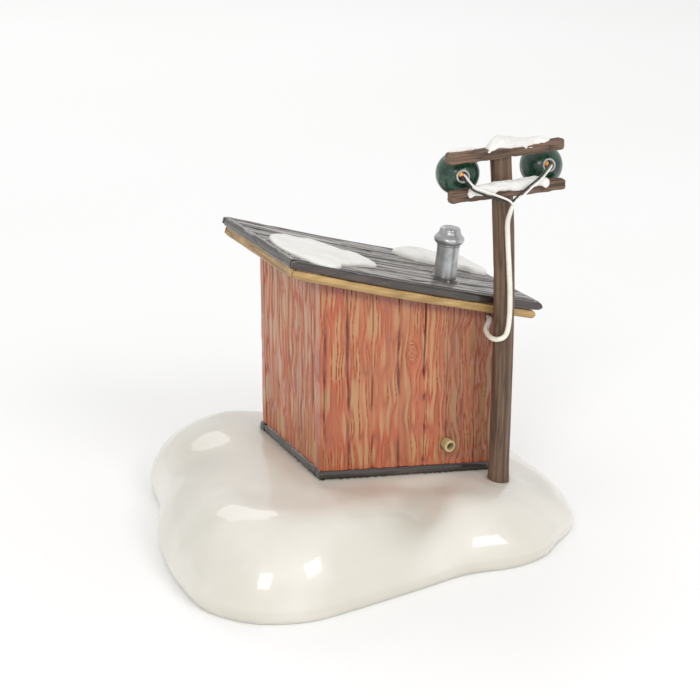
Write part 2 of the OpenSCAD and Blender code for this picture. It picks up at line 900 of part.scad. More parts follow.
module inlet_bushing() {
    color(board_tan)
        translate([inlet_x, hut_y0, inlet_z])
            rotate([-90, 0, 0])
                difference() {
                    union() {
                        translate([0, 0, -inlet_stand])
                            cylinder(d = inlet_hole_d - 2 * inlet_clear,
                                h = inlet_stand + wall_t + flange_t);
                        translate([0, 0, wall_t])
                            cylinder(d = inlet_hole_d + 2 * flange_out, h = flange_t);
                    }
                    translate([0, 0, -inlet_stand - over])
                        cylinder(r = inlet_bore_r,
                            h = inlet_stand + wall_t + flange_t + 2 * over);
                }
}

snow_base();
back_sill();
front_sill();
high_sill();
low_sill();
back_wall();
front_wall();
high_wall();
low_wall();
door_leaf();
door_frame();
window_frame();
window_pane();
roof_board_1();
roof_board_2();
roof_board_3();
roof_board_4();
roof_board_5();
back_verge_trim();
front_verge_trim();
low_eave_trim();
high_eave_trim();
back_rake_board();
front_rake_board();
low_eave_board();
high_eave_board();
high_roof_snow();
low_roof_snow();
stovepipe();
stovepipe_collar();
stovepipe_cap();
lamp_post();
upper_crossarm();
lower_crossarm();
upper_arm_snow();
lower_arm_snow();
left_lamp_shade();
right_lamp_shade();
left_lamp_bulb();
right_lamp_bulb();
left_lamp_grommet();
right_lamp_grommet();
lamp_wires();
down_lead();
inlet_bushing();
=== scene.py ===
# %% [markdown]
# # An ice fishing hut: a lighted ceramic miniature
# The real object is a shelf ornament about 13 cm wide: a glazed mound of snow, a boarded
# hut with a sloping plank roof, and a lamp post with two green lamps. The engineering
# model gives the sizes. This lesson rebuilds each of its parts as a carved, painted and
# glazed surface in the same place. Every shape is a formula on a grid of two numbers,
# worked out as whole numpy arrays, because carving by formula can be repeated and tuned.

import math

import bpy
import numpy as np
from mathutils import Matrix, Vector


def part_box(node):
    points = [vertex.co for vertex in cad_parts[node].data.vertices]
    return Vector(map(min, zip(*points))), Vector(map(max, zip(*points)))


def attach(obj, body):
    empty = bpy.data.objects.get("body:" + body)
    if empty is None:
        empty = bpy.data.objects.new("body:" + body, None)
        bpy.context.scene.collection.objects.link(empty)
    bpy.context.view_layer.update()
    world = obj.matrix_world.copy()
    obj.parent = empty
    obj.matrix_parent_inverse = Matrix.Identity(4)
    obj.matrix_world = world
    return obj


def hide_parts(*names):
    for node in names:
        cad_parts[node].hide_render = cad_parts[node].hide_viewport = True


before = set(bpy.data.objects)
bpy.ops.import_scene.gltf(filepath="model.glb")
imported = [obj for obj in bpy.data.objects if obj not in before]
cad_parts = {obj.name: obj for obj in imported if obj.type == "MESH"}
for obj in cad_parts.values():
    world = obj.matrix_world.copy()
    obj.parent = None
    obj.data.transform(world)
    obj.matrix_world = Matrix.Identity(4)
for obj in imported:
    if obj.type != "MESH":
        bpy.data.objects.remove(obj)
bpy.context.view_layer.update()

# %% [markdown]
# ## The camera
# The eye stands a little left of the back of the hut and looks down on it at 20 degrees.
# A long lens keeps the uprights nearly parallel, as a shop picture of a small thing does.

# %% Camera
EYE = (-0.2065, -0.4265, 0.2248)
GAZE = (0.412, 0.845, -0.342)
LENS_MM = 87.43

eye = bpy.data.cameras.new("eye")
eye.lens, eye.sensor_width, eye.clip_start = LENS_MM, 36.0, 0.01
camera = bpy.data.objects.new("eye", eye)
camera.location = EYE
camera.rotation_euler = Vector(GAZE).to_track_quat("-Z", "Y").to_euler()
bpy.context.scene.collection.objects.link(camera)
bpy.context.scene.camera = camera
print("camera at", EYE)

# %% [markdown]
# ## Shapes from arrays
# A bar, a pipe or a mound is a stack of rings: ring i, point j. Neighbouring points make
# quads, and the first and last ring are closed with a fan. Working in millimetres keeps
# the numbers readable; the mesh is scaled to metres once, when it is made.

# %% Rings, faces and slabs
MM = 0.001


def grid_faces(rows, cols, around=False, along=False):
    """Quads of a grid: corners (i, j), (i, j+1), (i+1, j+1), (i+1, j).

    The last column joins the first when around, the last row the first when along.
    """
    i = np.arange(rows if along else rows - 1)[:, None]
    j = np.arange(cols if around else cols - 1)[None, :]
    i2, j2 = (i + 1) % rows, (j + 1) % cols
    corners = [i * cols + j, i * cols + j2, i2 * cols + j2, i2 * cols + j]
    return np.stack(corners, -1).reshape(-1, 4)


def closed_skin(rings):
    """A closed tube from rings (n, m, 3).

    It has quads between the rings, and at each end a fan to the middle of the last ring.
    """
    n, m = rings.shape[:2]
    points = np.vstack([rings.reshape(-1, 3), rings[0].mean(0), rings[-1].mean(0)])
    j = np.arange(m)
    k, last = (j + 1) % m, (n - 1) * m
    first_fan = np.stack([np.full(m, n * m), k, j], -1)
    last_fan = np.stack([np.full(m, n * m + 1), last + j, last + k], -1)
    return points, [grid_faces(n, m, around=True), first_fan, last_fan]


def slab(front, back, faces):
    """A closed plate: a front sheet, a back sheet turned round, and a rim.

    The rim is a quad along each edge that only one face uses.
    """
    edges = faces[:, [0, 1, 1, 2, 2, 3, 3, 0]].reshape(-1, 2)
    _, first, count = np.unique(
        np.sort(edges, 1), axis=0, return_index=True, return_counts=True
    )
    rim = edges[first[count == 1]]
    n = len(front)
    wall = np.stack([rim[:, 1], rim[:, 0], rim[:, 0] + n, rim[:, 1] + n], -1)
    return np.vstack([front, back]), [faces, faces[:, ::-1] + n, wall]


def volume(points, faces):
    """Six times the signed volume, which is positive when the faces look outward.

    It is the sum of a . (b x c) over all triangles a, b, c that the faces are cut into.
    """
    total = 0.0
    for f in faces:
        for k in range(1, f.shape[1] - 1):
            a, b, c = points[f[:, 0]], points[f[:, k]], points[f[:, k + 1]]
            total += np.einsum("ij,ij->", a, np.cross(b, c))
    return total


print("a ring of 4 and a ring of 4 make", len(grid_faces(2, 4, around=True)), "quads")

# %% Making a piece
pieces_made = {}


def per_point(rings, middle=0.0, **fields):
    """Fields of a closed skin.

    Each is spread over the rings, with one value for both end middles.
    """
    size = rings.shape[:2]
    return {key: np.append(np.broadcast_to(v, size), [middle] * 2) for key, v in fields.items()}


def make_piece(name, parts, finish, fields=None, crease=38, node=None):
    """Puts closed parts, each (points in mm, list of face arrays), into one mesh.

    Faces are turned to look outward, fields are numbers per point, and edges sharper
    than crease degrees stay sharp. The finish is the mesh's material, and the engineering
    part named node, or the piece's name, is hidden.
    """
    points, faces, start = [], [], 0
    for part_points, part_faces in parts:
        turned = volume(part_points - part_points.mean(0), part_faces) < 0
        for f in part_faces:
            faces += ((f[:, ::-1] if turned else f) + start).tolist()
        points.append(part_points)
        start += len(part_points)
    mesh = bpy.data.meshes.new(name)
    mesh.from_pydata((np.vstack(points) * MM).tolist(), [], faces)
    for field, values in (fields or {}).items():
        layer = mesh.attributes.new(field, "FLOAT", "POINT")
        layer.data.foreach_set("value", np.ravel(values).astype(np.float32))
    mesh.polygons.foreach_set("use_smooth", np.ones(len(mesh.polygons), bool))
    mesh.set_sharp_from_angle(angle=math.radians(crease))
    mesh.materials.append(finish)
    piece = bpy.data.objects.new(name, mesh)
    bpy.context.scene.collection.objects.link(piece)
    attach(piece, "root")
    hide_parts(node or name)
    pieces_made[name] = len(mesh.polygons)
    size = np.ptp(np.vstack(points), axis=0)
    print(name, "faces", len(mesh.polygons), "size mm", np.round(size, 1).tolist())
    return piece


# %% [markdown]
# ## Randomness that stays smooth
# Hand carving and hand glazing wander. A smooth random height gives that: random values
# stand on a lattice, and between them the height eases from one to the next. The same
# seed gives the same surface each time.

# %% Soft noise and smooth lines
CORNERS = np.array([[a, b, c] for a in (0, 1) for b in (0, 1) for c in (0, 1)])


def soft_noise(x, y, z=0.0, seed=0):
    """Smooth random heights from -1 to 1.

    In each unit cell the eight corner values are blended with weights 3t^2 - 2t^3 along
    each axis; a corner's value is the fraction of a large sine of its place.
    """
    p = np.stack(np.broadcast_arrays(x, y, z), -1).astype(float) + 17.31 * seed + 500.0
    cell = np.floor(p)
    t = p - cell
    ease = t * t * (3 - 2 * t)
    total = np.zeros(p.shape[:-1])
    for corner in CORNERS:
        key = (cell + corner) @ np.array([12.9898, 78.233, 37.719])
        value = np.mod(np.abs(np.sin(key)) * 4758.5453, 1.0)
        total += value * np.prod(np.where(corner, ease, 1 - ease), axis=-1)
    return 2 * total - 1


def smooth_line(points, per_span, closed=False):
    """A line through the points.

    Each span is half of 2b + (c-a)t + (2a-5b+4c-d)t^2 + (3b-3c+d-a)t^3, from the four
    points a, b, c, d around it.
    """
    p = np.asarray(points, float)
    if closed:
        a, b, c, d = np.roll(p, 1, 0), p, np.roll(p, -1, 0), np.roll(p, -2, 0)
    else:
        q = np.vstack([p[:1], p, p[-1:]])
        a, b, c, d = q[:-3], q[1:-2], q[2:-1], q[3:]
    t = (np.arange(per_span) / per_span)[None, :, None]
    a, b, c, d = a[:, None], b[:, None], c[:, None], d[:, None]
    line = 0.5 * (
        2 * b
        + (c - a) * t
        + (2 * a - 5 * b + 4 * c - d) * t**2
        + (3 * b - 3 * c + d - a) * t**3
    )
    line = line.reshape(-1, p.shape[1])
    return line if closed else np.vstack([line, p[-1:]])


def step(x, low, high):
    """0 below low, 1 above high, and the easing 3t^2 - 2t^3 between."""
    t = np.clip((x - low) / (high - low), 0, 1)
    return t * t * (3 - 2 * t)


def hump(x, width):
    """A bell: exp(-(x/width)^2)."""
    return np.exp(-((x / width) ** 2))


print("noise sample", np.round(soft_noise(np.arange(4) * 0.4, 0.3, seed=1), 3))

# %% [markdown]
# ## Paint by arithmetic
# A finish is a sum: grain times stain plus speckle. A small class wraps a socket, so that
# `1 - mask` writes the Math node for us. Colours go through one mixing method, and every
# other node comes from one method that sets its options before its sockets.

# %% The finish maker
def srgb(code):
    """A hex colour as linear light: below 0.04045 v/12.92, else ((v+0.055)/1.055)^2.4."""
    v = [int(code[k : k + 2], 16) / 255 for k in (1, 3, 5)]
    return [c / 12.92 if c <= 0.04045 else ((c + 0.055) / 1.055) ** 2.4 for c in v] + [1.0]


class Signal:
    """An output socket that takes part in sums; each operator adds one Math node."""

    def __init__(self, finish, socket):
        self.finish, self.socket = finish, socket

    def maths(self, how, first, second):
        return self.finish.add("Math", {"operation": how}, {0: first, 1: second})

    def __add__(self, other):
        return self.maths("ADD", self, other)

    def __radd__(self, other):
        return self.maths("ADD", other, self)

    def __sub__(self, other):
        return self.maths("SUBTRACT", self, other)

    def __rsub__(self, other):
        return self.maths("SUBTRACT", other, self)

    def __mul__(self, other):
        return self.maths("MULTIPLY", self, other)

    def __rmul__(self, other):
        return self.maths("MULTIPLY", other, self)


class Finish:
    """A material being mixed: patterns in, one glazed or matt shader out."""

    def __init__(self, name):
        self.material = bpy.data.materials.new(name)
        self.material.use_nodes = True
        self.tree = self.material.node_tree
        self.tree.nodes.clear()
        self.place = self.add("TexCoord", output="Object")

    def add(self, kind, settings=None, inputs=None, output=0):
        node = self.tree.nodes.new("ShaderNode" + kind)
        for key, value in (settings or {}).items():
            setattr(node, key, value)
        for key, value in (inputs or {}).items():
            if isinstance(value, Signal):
                self.tree.links.new(value.socket, node.inputs[key])
            else:
                node.inputs[key].default_value = value
        return Signal(self, node.outputs[output])

    def field(self, name):
        """A number stored on the mesh by the carving."""
        return self.add("Attribute", {"attribute_name": name}, output="Fac")

    def noise(self, per_metre, detail=2.0, rough=0.5, turn=(0, 0, 0)):
        """Noise with per_metre cells along x, y and z, or one number for all three."""
        scale = [per_metre] * 3 if np.isscalar(per_metre) else per_metre
        turned = self.add(
            "Mapping",
            {"vector_type": "POINT"},
            {"Vector": self.place, "Rotation": turn, "Scale": scale},
        )
        return self.add(
            "TexNoise",
            {"noise_dimensions": "3D"},
            {"Vector": turned, "Scale": 1.0, "Detail": detail, "Roughness": rough},
        )

    def between(self, value, low, high, start=0.0, end=1.0):
        """start below low, end above high, and a smooth step between."""
        return self.add(
            "MapRange",
            {"interpolation_type": "SMOOTHSTEP"},
            {0: value, 1: low, 2: high, 3: start, 4: end},
        )

    def mix(self, share, first, second):
        """Colour first where share is 0 and second where it is 1; a colour may be a hex code."""
        first, second = (srgb(c) if isinstance(c, str) else c for c in (first, second))
        return self.add(
            "Mix",
            {"data_type": "RGBA", "clamp_factor": True},
            {0: share, 6: first, 7: second},
            output=2,
        )

    def bump(self, height, depth):
        """A normal from a height of 0 to 1 that is depth metres tall."""
        return self.add("Bump", {}, {"Height": height, "Distance": depth, "Strength": 1.0})

    def done(self, colour, roughness, normal=None, **constants):
        """The shader and its output. Constants are set on the shader's own sockets."""
        links = {"Base Color": colour, "Roughness": roughness}
        if normal is not None:
            links["Normal"] = normal
        links.update({key.replace("_", " "): v for key, v in constants.items()})
        shader = self.add("BsdfPrincipled", {}, links)
        self.add_output(shader)
        return self.material

    def add_output(self, shader):
        node = self.tree.nodes.new("ShaderNodeOutputMaterial")
        self.tree.links.new(shader.socket, node.inputs["Surface"])


print("finish maker ready; mid grey is", np.round(srgb("#808080")[0], 3))

# %% [markdown]
# ## The mound of snow
# The base is poured ceramic: a kidney-shaped puddle with a rounded lip, sloping down
# from the hut's high side, dipped in a clear glaze. Painted shade darkens its hollows, the
# foot of the hut and the foot of the post. It could be sculpted, but its outline and its
# rise are two smooth laws, so it is a polar grid: one number runs round the outline, the
# other from the foot over the lip to the middle.

# %% Glaze for the mound
def snow_glaze():
    f = Finish("snow_glaze")
    cloud = f.noise(28, 3)
    grit = f.noise(1500, 1)
    fleck = f.noise(420, 2, 0.7)
    colour = f.mix(f.between(cloud, 0.38, 0.62), "#d8d4c8", "#e4e0d6")
    # Painted shade: the hollow field darkens the snow in its hollows, along the hut's foot and
    # round the post.
    colour = f.mix(f.field("hollow") * 0.75, colour, "#c2bcae")
    colour = f.mix(f.between(fleck, 0.70, 0.78) * 0.25, colour, "#c2b79f")
    rough = 0.34 + 0.10 * grit
    wave = f.noise(95, 2)
    normal = f.bump(wave, 0.0003)
    return f.done(
        colour, rough, normal, Coat_Weight=0.8, Coat_Roughness=0.05, Coat_IOR=1.45
    )


glaze = snow_glaze()
print("glaze nodes", len(glaze.node_tree.nodes))

# %% The mound's laws
BASE_W, BASE_D = 129.0, 120.0
BASE_TOP, GRADE, LIP_Z, SHOULDER = 15.0, 0.135, 4.0, 24.0
HUT_X0, HUT_X1, HUT_Y0, HUT_Y1 = -18.0, 40.0, -21.0, 22.0
LIFT_BEND, LIFT_POWER, MOUND_RINGS = 2.2, 0.62, 45
POST_X, POST_Y, POST_D = 36.8, -28.6, 6.4

OUTLINE = [
    [-0.985, -0.23], [-1.00, -0.45], [-0.975, -0.70], [-0.84, -0.90], [-0.62, -1.00],
    [-0.38, -0.99], [-0.06, -0.95], [0.19, -0.917], [0.43, -0.95], [0.60, -0.915],
    [0.715, -0.825], [0.84, -0.73], [0.91, -0.575], [0.955, -0.41], [0.98, -0.20],
    [0.99, 0.13], [1.00, 0.43], [0.92, 0.73], [0.70, 0.92], [0.33, 1.00],
    [-0.08, 0.95], [-0.39, 0.99], [-0.61, 0.90], [-0.745, 0.70], [-0.80, 0.43],
    [-0.84, 0.28], [-0.935, 0.03],
]  # fmt: skip


def snow_z(x):
    """The snow's height beside the hut.

    It rises by GRADE towards the high side and stays level past the hut's wall.
    """
    return BASE_TOP + GRADE * (HUT_X1 - 1.5 - np.maximum(x, HUT_X0 - 3))


# Shallow hollows and swells: x, y, how far they reach along and across, how they turn, height.
SWELLS = [
    (3.0, -43.0, 27.0, 6.5, 0.90, -2.5),
    (31.0, -44.0, 14.0, 10.0, 0.6, 0.9),
    (-38.0, -42.0, 20.0, 15.0, 0.0, 1.2),
    (51.0, -30.0, 12.0, 6.0, 1.2, -1.0),
    (-44.0, 16.0, 20.0, 9.0, 1.3, -1.2),
    (14.0, 44.0, 22.0, 9.0, 0.2, -1.3),
]


def swell_z(x, y):
    """The sum of oval bells, each height * exp(-(along/a)^2 - (across/b)^2)."""
    total = np.zeros_like(x)
    for cx, cy, a, b, turn, height in SWELLS:
        along = (x - cx) * math.cos(turn) + (y - cy) * math.sin(turn)
        across = (y - cy) * math.cos(turn) - (x - cx) * math.sin(turn)
        total += height * hump(along, a) * hump(across, b)
    return total


def mound():
    """Rings of the outline drawn in towards the middle.

    Foot rings curl in under the lip. From the lip inward by d mm the height is LIP_Z +
    (field - LIP_Z) * lift, with lift = (1 - (1 - d/SHOULDER)^2.2)^0.62, and past the
    shoulder it is the field itself.
    """
    line = smooth_line(OUTLINE, 16, closed=True)
    half = np.array([BASE_W, BASE_D]) / 2
    line = ((line - line.min(0)) / np.ptp(line, axis=0) * 2 - 1) * half
    reach = np.linalg.norm(line, axis=1)[None, :, None]
    foot_in = np.array([1.6, 1.0, 0.4, 0.12, 0.0])
    foot_z = np.array([0.0, 0.25, 2.0, 3.0, 4.0])
    slope_in = np.linspace(0, 1, MOUND_RINGS + 1)[1:] ** 1.7 * SHOULDER
    drawn = np.concatenate([foot_in, slope_in])[:, None, None]
    rings = line[None] * (1 - drawn / reach)
    shrink = np.linspace(1, 0.02, MOUND_RINGS + 1)[1:, None, None]
    rings = np.concatenate([rings, rings[-1:] * shrink])
    x, y = rings[..., 0], rings[..., 1]
    t = np.concatenate([0 * foot_in, slope_in / SHOULDER, np.ones(MOUND_RINGS)])
    lift = ((1 - (1 - np.clip(t, 0, 1)) ** LIFT_BEND) ** LIFT_POWER)[:, None]
    field = snow_z(x) - 0.08 * np.maximum(0, y - HUT_Y1 - 4)
    beside = step(lift, 0.25, 0.95)
    gap = np.hypot(
        np.maximum(np.abs(x - (HUT_X0 + HUT_X1) / 2) - (HUT_X1 - HUT_X0) / 2, 0),
        np.maximum(np.abs(y - (HUT_Y0 + HUT_Y1) / 2) - (HUT_Y1 - HUT_Y0) / 2, 0),
    )
    post_gap = np.hypot(x - POST_X, y - POST_Y)
    away = step(gap, 0.5, 9.0) * step(post_gap, 4.0, 9.0)
    swell = swell_z(x, y) * beside * away
    lumps = 0.35 * soft_noise(x / 13, y / 13, seed=3) * beside * away
    dimple = -0.35 * hump(np.maximum(post_gap - POST_D / 2, 0), 0.7)
    seat = -0.6 * (gap < 0.3)
    z = LIP_Z + (field + swell + lumps - LIP_Z) * lift + dimple * beside + seat
    z[: len(foot_in)] = foot_z[:, None]
    # Painted shade: darker in the hollows, in a line along the hut's foot, round the post's foot
    # and under the lip.
    hollow = np.clip(-swell / 1.6, 0, 1) * 0.8 + 0.5 * hump(gap - 0.6, 1.2) * (gap > 0)
    hollow = np.clip(hollow + 0.3 * hump(post_gap - POST_D / 2, 1.0), 0, 1)
    hollow[: len(foot_in)] = 0.15
    rings = np.stack([x, y, z], -1)
    return closed_skin(rings), per_point(rings, hollow=hollow)


skin, fields = mound()
make_piece("snow_base", [skin], glaze, fields, crease=60)

# %% [markdown]
# ## Boards carved in clay
# The walls are one slab each, scored to look like boards: joints every 8 mm, wavy grain
# that splits and joins, and a knot that the grain flows around. A texture alone would
# look printed, so the grain is real relief: lines are cut where a stretched noise passes
# through zero, which gives exactly such wandering, forking lines. The same numbers are
# stored on the mesh, so the stain gathers in the cuts.

# %% Carving
GRAIN_PITCH, GRAIN_RUN = 0.85, 10.0
JOINT_DEPTH, CUT_DEPTH, HOLLOW_DEPTH = 0.38, 0.34, 0.16


def grain_height(across, up, along, pitch, run, seed):
    """Noise stretched to run mm along and pitch mm across, wandering sideways by a slower
    noise.
    """
    wander = 0.65 * soft_noise(across / 4, along / (0.6 * run), up / 4, seed + 5)
    return soft_noise(across / pitch + wander, along / run, up / pitch, seed)


def grain(*place):
    """Cut and stain of wood grain: exp(-(n/0.17)^2) and exp(-(n/0.45)^2) of its height n."""
    n = grain_height(*place)
    return hump(n, 0.17), hump(n, 0.45)


def board_carving(across, along, joints, seed, knots=(), deep=None):
    """Depth in mm, and the groove, stain and tone fields, of a boarded face.

    Joints are bells of the distance to a wobbling line. Round a knot the grain is
    squeezed sideways and gives way to oval rings.
    """
    u, rings, ring_share = across, 0.0, 0.0
    for ku, kv, wide, tall in knots:
        near = hump(across - ku, 3.6) * hump(along - kv, 6.5)
        u = ku + (u - ku) * (1 - 0.72 * near)
        oval = np.hypot((across - ku) / wide, (along - kv) / tall)
        share = 1 - step(oval, 1.6, 2.5)
        rings, ring_share = rings + share * np.sin(5.0 * oval - 1.2), ring_share + share
    n = grain_height(u, 0.0, along, GRAIN_PITCH, GRAIN_RUN, seed)
    n = (1 - ring_share) * n + ring_share * 0.5 * rings
    cut, stain = hump(n, 0.20), hump(n, 0.42)
    lines = np.array(joints)[:, None, None]
    wobble = 0.3 * soft_noise(along[None] / 9, lines, seed=seed + 9)
    gaps = np.abs(across[None] - lines - wobble)
    nearest = gaps.argmin(0)
    gap = np.take_along_axis(gaps, nearest[None], 0)[0]
    strength = 0.62 + 0.38 * soft_noise(along / 16, nearest * 3.1, seed=seed + 2)
    if deep is not None:
        strength = strength + deep(np.array(joints)[nearest], along)
    joint = hump(gap, 0.30) * np.clip(strength, 0.15, 1.5)
    swell = 0.5 + 0.5 * soft_noise(u / 2.2, along / 20, seed=seed + 7)
    depth = JOINT_DEPTH * joint + CUT_DEPTH * cut + HOLLOW_DEPTH * (1 - swell)
    # Dark joints are paint; the cut lines are darkened as painted shade of the carving.
    groove = np.clip(joint + 0.72 * cut * (0.5 + 0.5 * swell), 0, 1)
    tone = 0.5 + 0.5 * soft_noise(nearest * 1.7, along / 60, seed=seed + 4)
    return depth, dict(groove=groove, stain=np.clip(stain, 0, 1), tone=tone)


def grid_lines(stops, pitch):
    """Grid lines that pass through every stop, no further apart than about pitch."""
    spans = zip(stops[:-1], stops[1:])
    runs = [np.linspace(a, b, max(2, round((b - a) / pitch) + 1))[:-1] for a, b in spans]
    return np.append(np.concatenate(runs), stops[-1])


def punch(u, v, faces, centre, radius):
    """Opens a round hole.

    Faces whose middle lies nearer than radius go, and the corners left on the rim are
    pulled onto the circle.
    """
    far = np.hypot(u - centre[0], v - centre[1])
    middle = np.hypot(u[faces].mean(1) - centre[0], v[faces].mean(1) - centre[1])
    kept, gone = faces[middle > radius], faces[middle <= radius]
    rim = np.intersect1d(kept, gone)
    u[rim] = centre[0] + (u[rim] - centre[0]) * radius / far[rim]
    v[rim] = centre[1] + (v[rim] - centre[1]) * radius / far[rim]
    return kept


def carved_plate(name, finish, u, v, depth, paint, faces_at, openings=(), holes=(),
                 order=(0, 1, 2), extra=()):  # fmt: skip
    """A plate between two levels w: its front is pressed in by depth, its back is flat.

    u and v are grids across and up, and faces_at = (front level, back level). Cells whose
    middle lies in an opening (u0, u1, v0, v1) are left out, round holes are punched, and
    points that no face uses are dropped. The order puts (u, w, v) into x, y, z.
    """
    w_out, w_in = faces_at
    faces = grid_faces(*u.shape)
    u, v, depth, *paint_values = (np.ravel(a).copy() for a in (u, v, depth, *paint.values()))
    for u0, u1, v0, v1 in openings:
        cu, cv = u[faces].mean(1), v[faces].mean(1)
        faces = faces[~((cu > u0) & (cu < u1) & (cv > v0) & (cv < v1))]
    for centre, radius in holes:
        faces = punch(u, v, faces, centre, radius)
    keep, renumbered = np.unique(faces, return_inverse=True)
    faces = renumbered.reshape(faces.shape)
    u, v, depth, *paint_values = (a[keep] for a in (u, v, depth, *paint_values))
    w = w_out + math.copysign(1, w_in - w_out) * depth
    front, back = (np.stack([u, level, v], -1)[:, order] for level in (w, np.full_like(u, w_in)))
    spare = np.zeros(sum(len(points) for points, _ in extra))
    fields = {key: np.concatenate([a, a, spare]) for key, a in zip(paint, paint_values)}
    return make_piece(name, [slab(front, back, faces), *extra], finish, fields)


print("grid lines", len(grid_lines([-18.0, 40.0], 0.22)))

# %% [markdown]
# ## Paint for the boards
# The painter washed a thin orange-red over tan clay and wiped it back: the cuts hold the
# wash, the raised wood stays tan, and the joints go brown. Painted shade darkens the cuts
# further and lies along the top of each wall under the roof. A clear glaze goes on top.

# %% Finish of the walls
def board_finish(name, tan, wash, deep, shade):
    f = Finish(name)
    streak = f.noise((1150, 1150, 75), 3, 0.6)
    fine = f.noise((2600, 2600, 160), 2)
    patch = f.noise((90, 90, 50), 2)
    stain = f.between(f.field("stain") + 1.4 * (streak - 0.50), 0.05, 0.80)
    wiped = f.between(patch, 0.30, 0.72, 0.68, 0.98)
    colour = f.mix(stain * wiped, tan, wash)
    colour = f.mix(f.between(f.field("tone"), 0.25, 1.2) * 0.5, colour, shade)
    colour = f.mix(f.between(fine, 0.55, 0.8) * 0.25, colour, shade)
    # Dark joints, and painted shade in the cut lines of the carving.
    colour = f.mix(f.between(f.field("groove"), 0.28, 0.95) * 0.85, colour, deep)
    # Painted shadow of the roof's overhang along the top of the wall.
    colour = f.mix(f.field("under") * 0.7, colour, "#8e4735")
    colour = f.mix(f.field("rim") * 0.8, colour, wash)
    rough = 0.38 + 0.2 * fine
    normal = f.bump(streak * 0.6 + fine * 0.4, 0.00012)
    return f.done(colour, rough, normal, Coat_Weight=0.8, Coat_Roughness=0.12)


wall_finish = board_finish("wall_boards", "#b58657", "#b5542c", "#582511", "#785038")
print("wall finish nodes", len(wall_finish.node_tree.nodes))

# %% [markdown]
# ## The four walls
# Each wall fills the band between the sill and the roof, and both slope, so its grid is
# ruled between a lower and an upper line. The long walls overlap the short ones at the
# corners. Openings are left out of the grid where the door, the window, the bushing and
# the lamp lead go through.

# %% Heights of the sill and the roof
SILL_H, ROOF_T = 2.5, 2.7
ROOF_X1, ROOF_Z1, ROOF_FALL = 52.7, 66.83, math.radians(16.6)
WALL_T = 3.0


def sill_z(x):
    """Top of the sill: the snow's height plus the sill's."""
    return snow_z(x) + SILL_H


def soffit_z(x):
    """Underside of the roof, leaving out its sag.

    It is the low edge's height plus the rise, less the upright thickness.
    """
    rise = (ROOF_X1 - x) * math.tan(ROOF_FALL)
    return ROOF_Z1 + rise - ROOF_T / math.cos(ROOF_FALL)


high = np.array(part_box("back_wall")[1]) / MM
print("back wall top", round(high[2], 2), "law says", round(float(soffit_z(HUT_X0)), 2))


# %% Grids and shades of a wall
def ruled(levels, rows):
    """Heights of a grid ruled between neighbouring levels.

    Between level a and level b a row lies at a + share * (b - a), for shares from 0 to 1.
    """
    share = np.linspace(0, 1, rows)[:-1, None]
    bands = [a + share * (b - a) for a, b in zip(levels[:-1], levels[1:])]
    return np.vstack([*bands, levels[-1:]])


def corner_round(u, ends, radius):
    """How far a face is pulled back beside its upright edges, in mm."""
    near = np.minimum(u - ends[0], ends[1] - u)
    return radius * (1 - step(near, 0, radius * 1.4)) ** 2


def wall_shades(z, bottom, top):
    """The painted shade under the roof, and the bright orange rim above the sill."""
    return dict(under=hump(np.maximum(top - z - 4.8, 0), 1.8), rim=hump(z - bottom, 1.1))


def deep_joint(joint, along):
    """The joint right of the knot was cut deepest, in its upper half."""
    return np.where(np.abs(joint - 15.5) < 1, 0.9 * step(along, 45, 52), 0)


# %% The two long walls
WALL_GRID, TUCK = 0.2, 0.2
BACK_JOINTS = [-16.6, -9.2, -1.4, 7.1, 15.5, 23.1, 32.6]
FRONT_JOINTS = [-16.0, -8.0, 0.0, 8.0, 16.0, 24.0, 32.0]
BUSH_X, BUSH_Z = 23.0, 26.09
LEAD_HOLE, BUSHING_HOLE = ((36.4, 63.67), 1.15), ((BUSH_X, BUSH_Z), 2.0)
DOOR_TOP, DOOR_X0, DOOR_X1 = 66.9, -9.0, 10.0
WINDOW = (19.0, 32.0, 45.91, 57.91)


def long_wall(name, y_out, y_in, joints, seed, rows, openings=(), holes=(), brown=0.0, **carving):
    """A wall along x whose foot follows the sill and whose top follows the roof.

    Grid lines pass through the sides of the openings and rows through their sills and
    heads. The doorway's sill is at 0, below the wall's foot, so beside the doorway the
    sheet folds down to 0 inside the mound and comes up again.
    """
    across = grid_lines(sorted({HUT_X0, HUT_X1, *[x for o in openings for x in o[:2]]}), WALL_GRID)
    breaks = sorted({z for o in openings for z in o[2:]})
    levels = [sill_z(across) - TUCK, *[np.full_like(across, z) for z in breaks], soffit_z(across)]
    z = ruled(np.array(levels), rows)
    x = np.broadcast_to(across, z.shape)
    depth, paint = board_carving(x, z, joints, seed, **carving)
    depth = depth + corner_round(x, (HUT_X0, HUT_X1), 0.5)
    paint["tone"] = paint["tone"] + brown * step(x, 21, 27)
    paint |= wall_shades(z, levels[0], levels[-1])
    return carved_plate(name, wall_finish, x, z, depth, paint, (y_out, y_in), openings, holes)


long_wall("back_wall", HUT_Y0, HUT_Y0 + WALL_T, BACK_JOINTS, 1, 170,
          holes=[LEAD_HOLE, BUSHING_HOLE], knots=[(11.3, 56.4, 0.95, 1.75)],
          deep=deep_joint, brown=0.55)  # fmt: skip
long_wall("front_wall", HUT_Y1, HUT_Y1 - WALL_T, FRONT_JOINTS, 2, 40,
          openings=[(DOOR_X0, DOOR_X1, 0.0, DOOR_TOP), WINDOW])  # fmt: skip


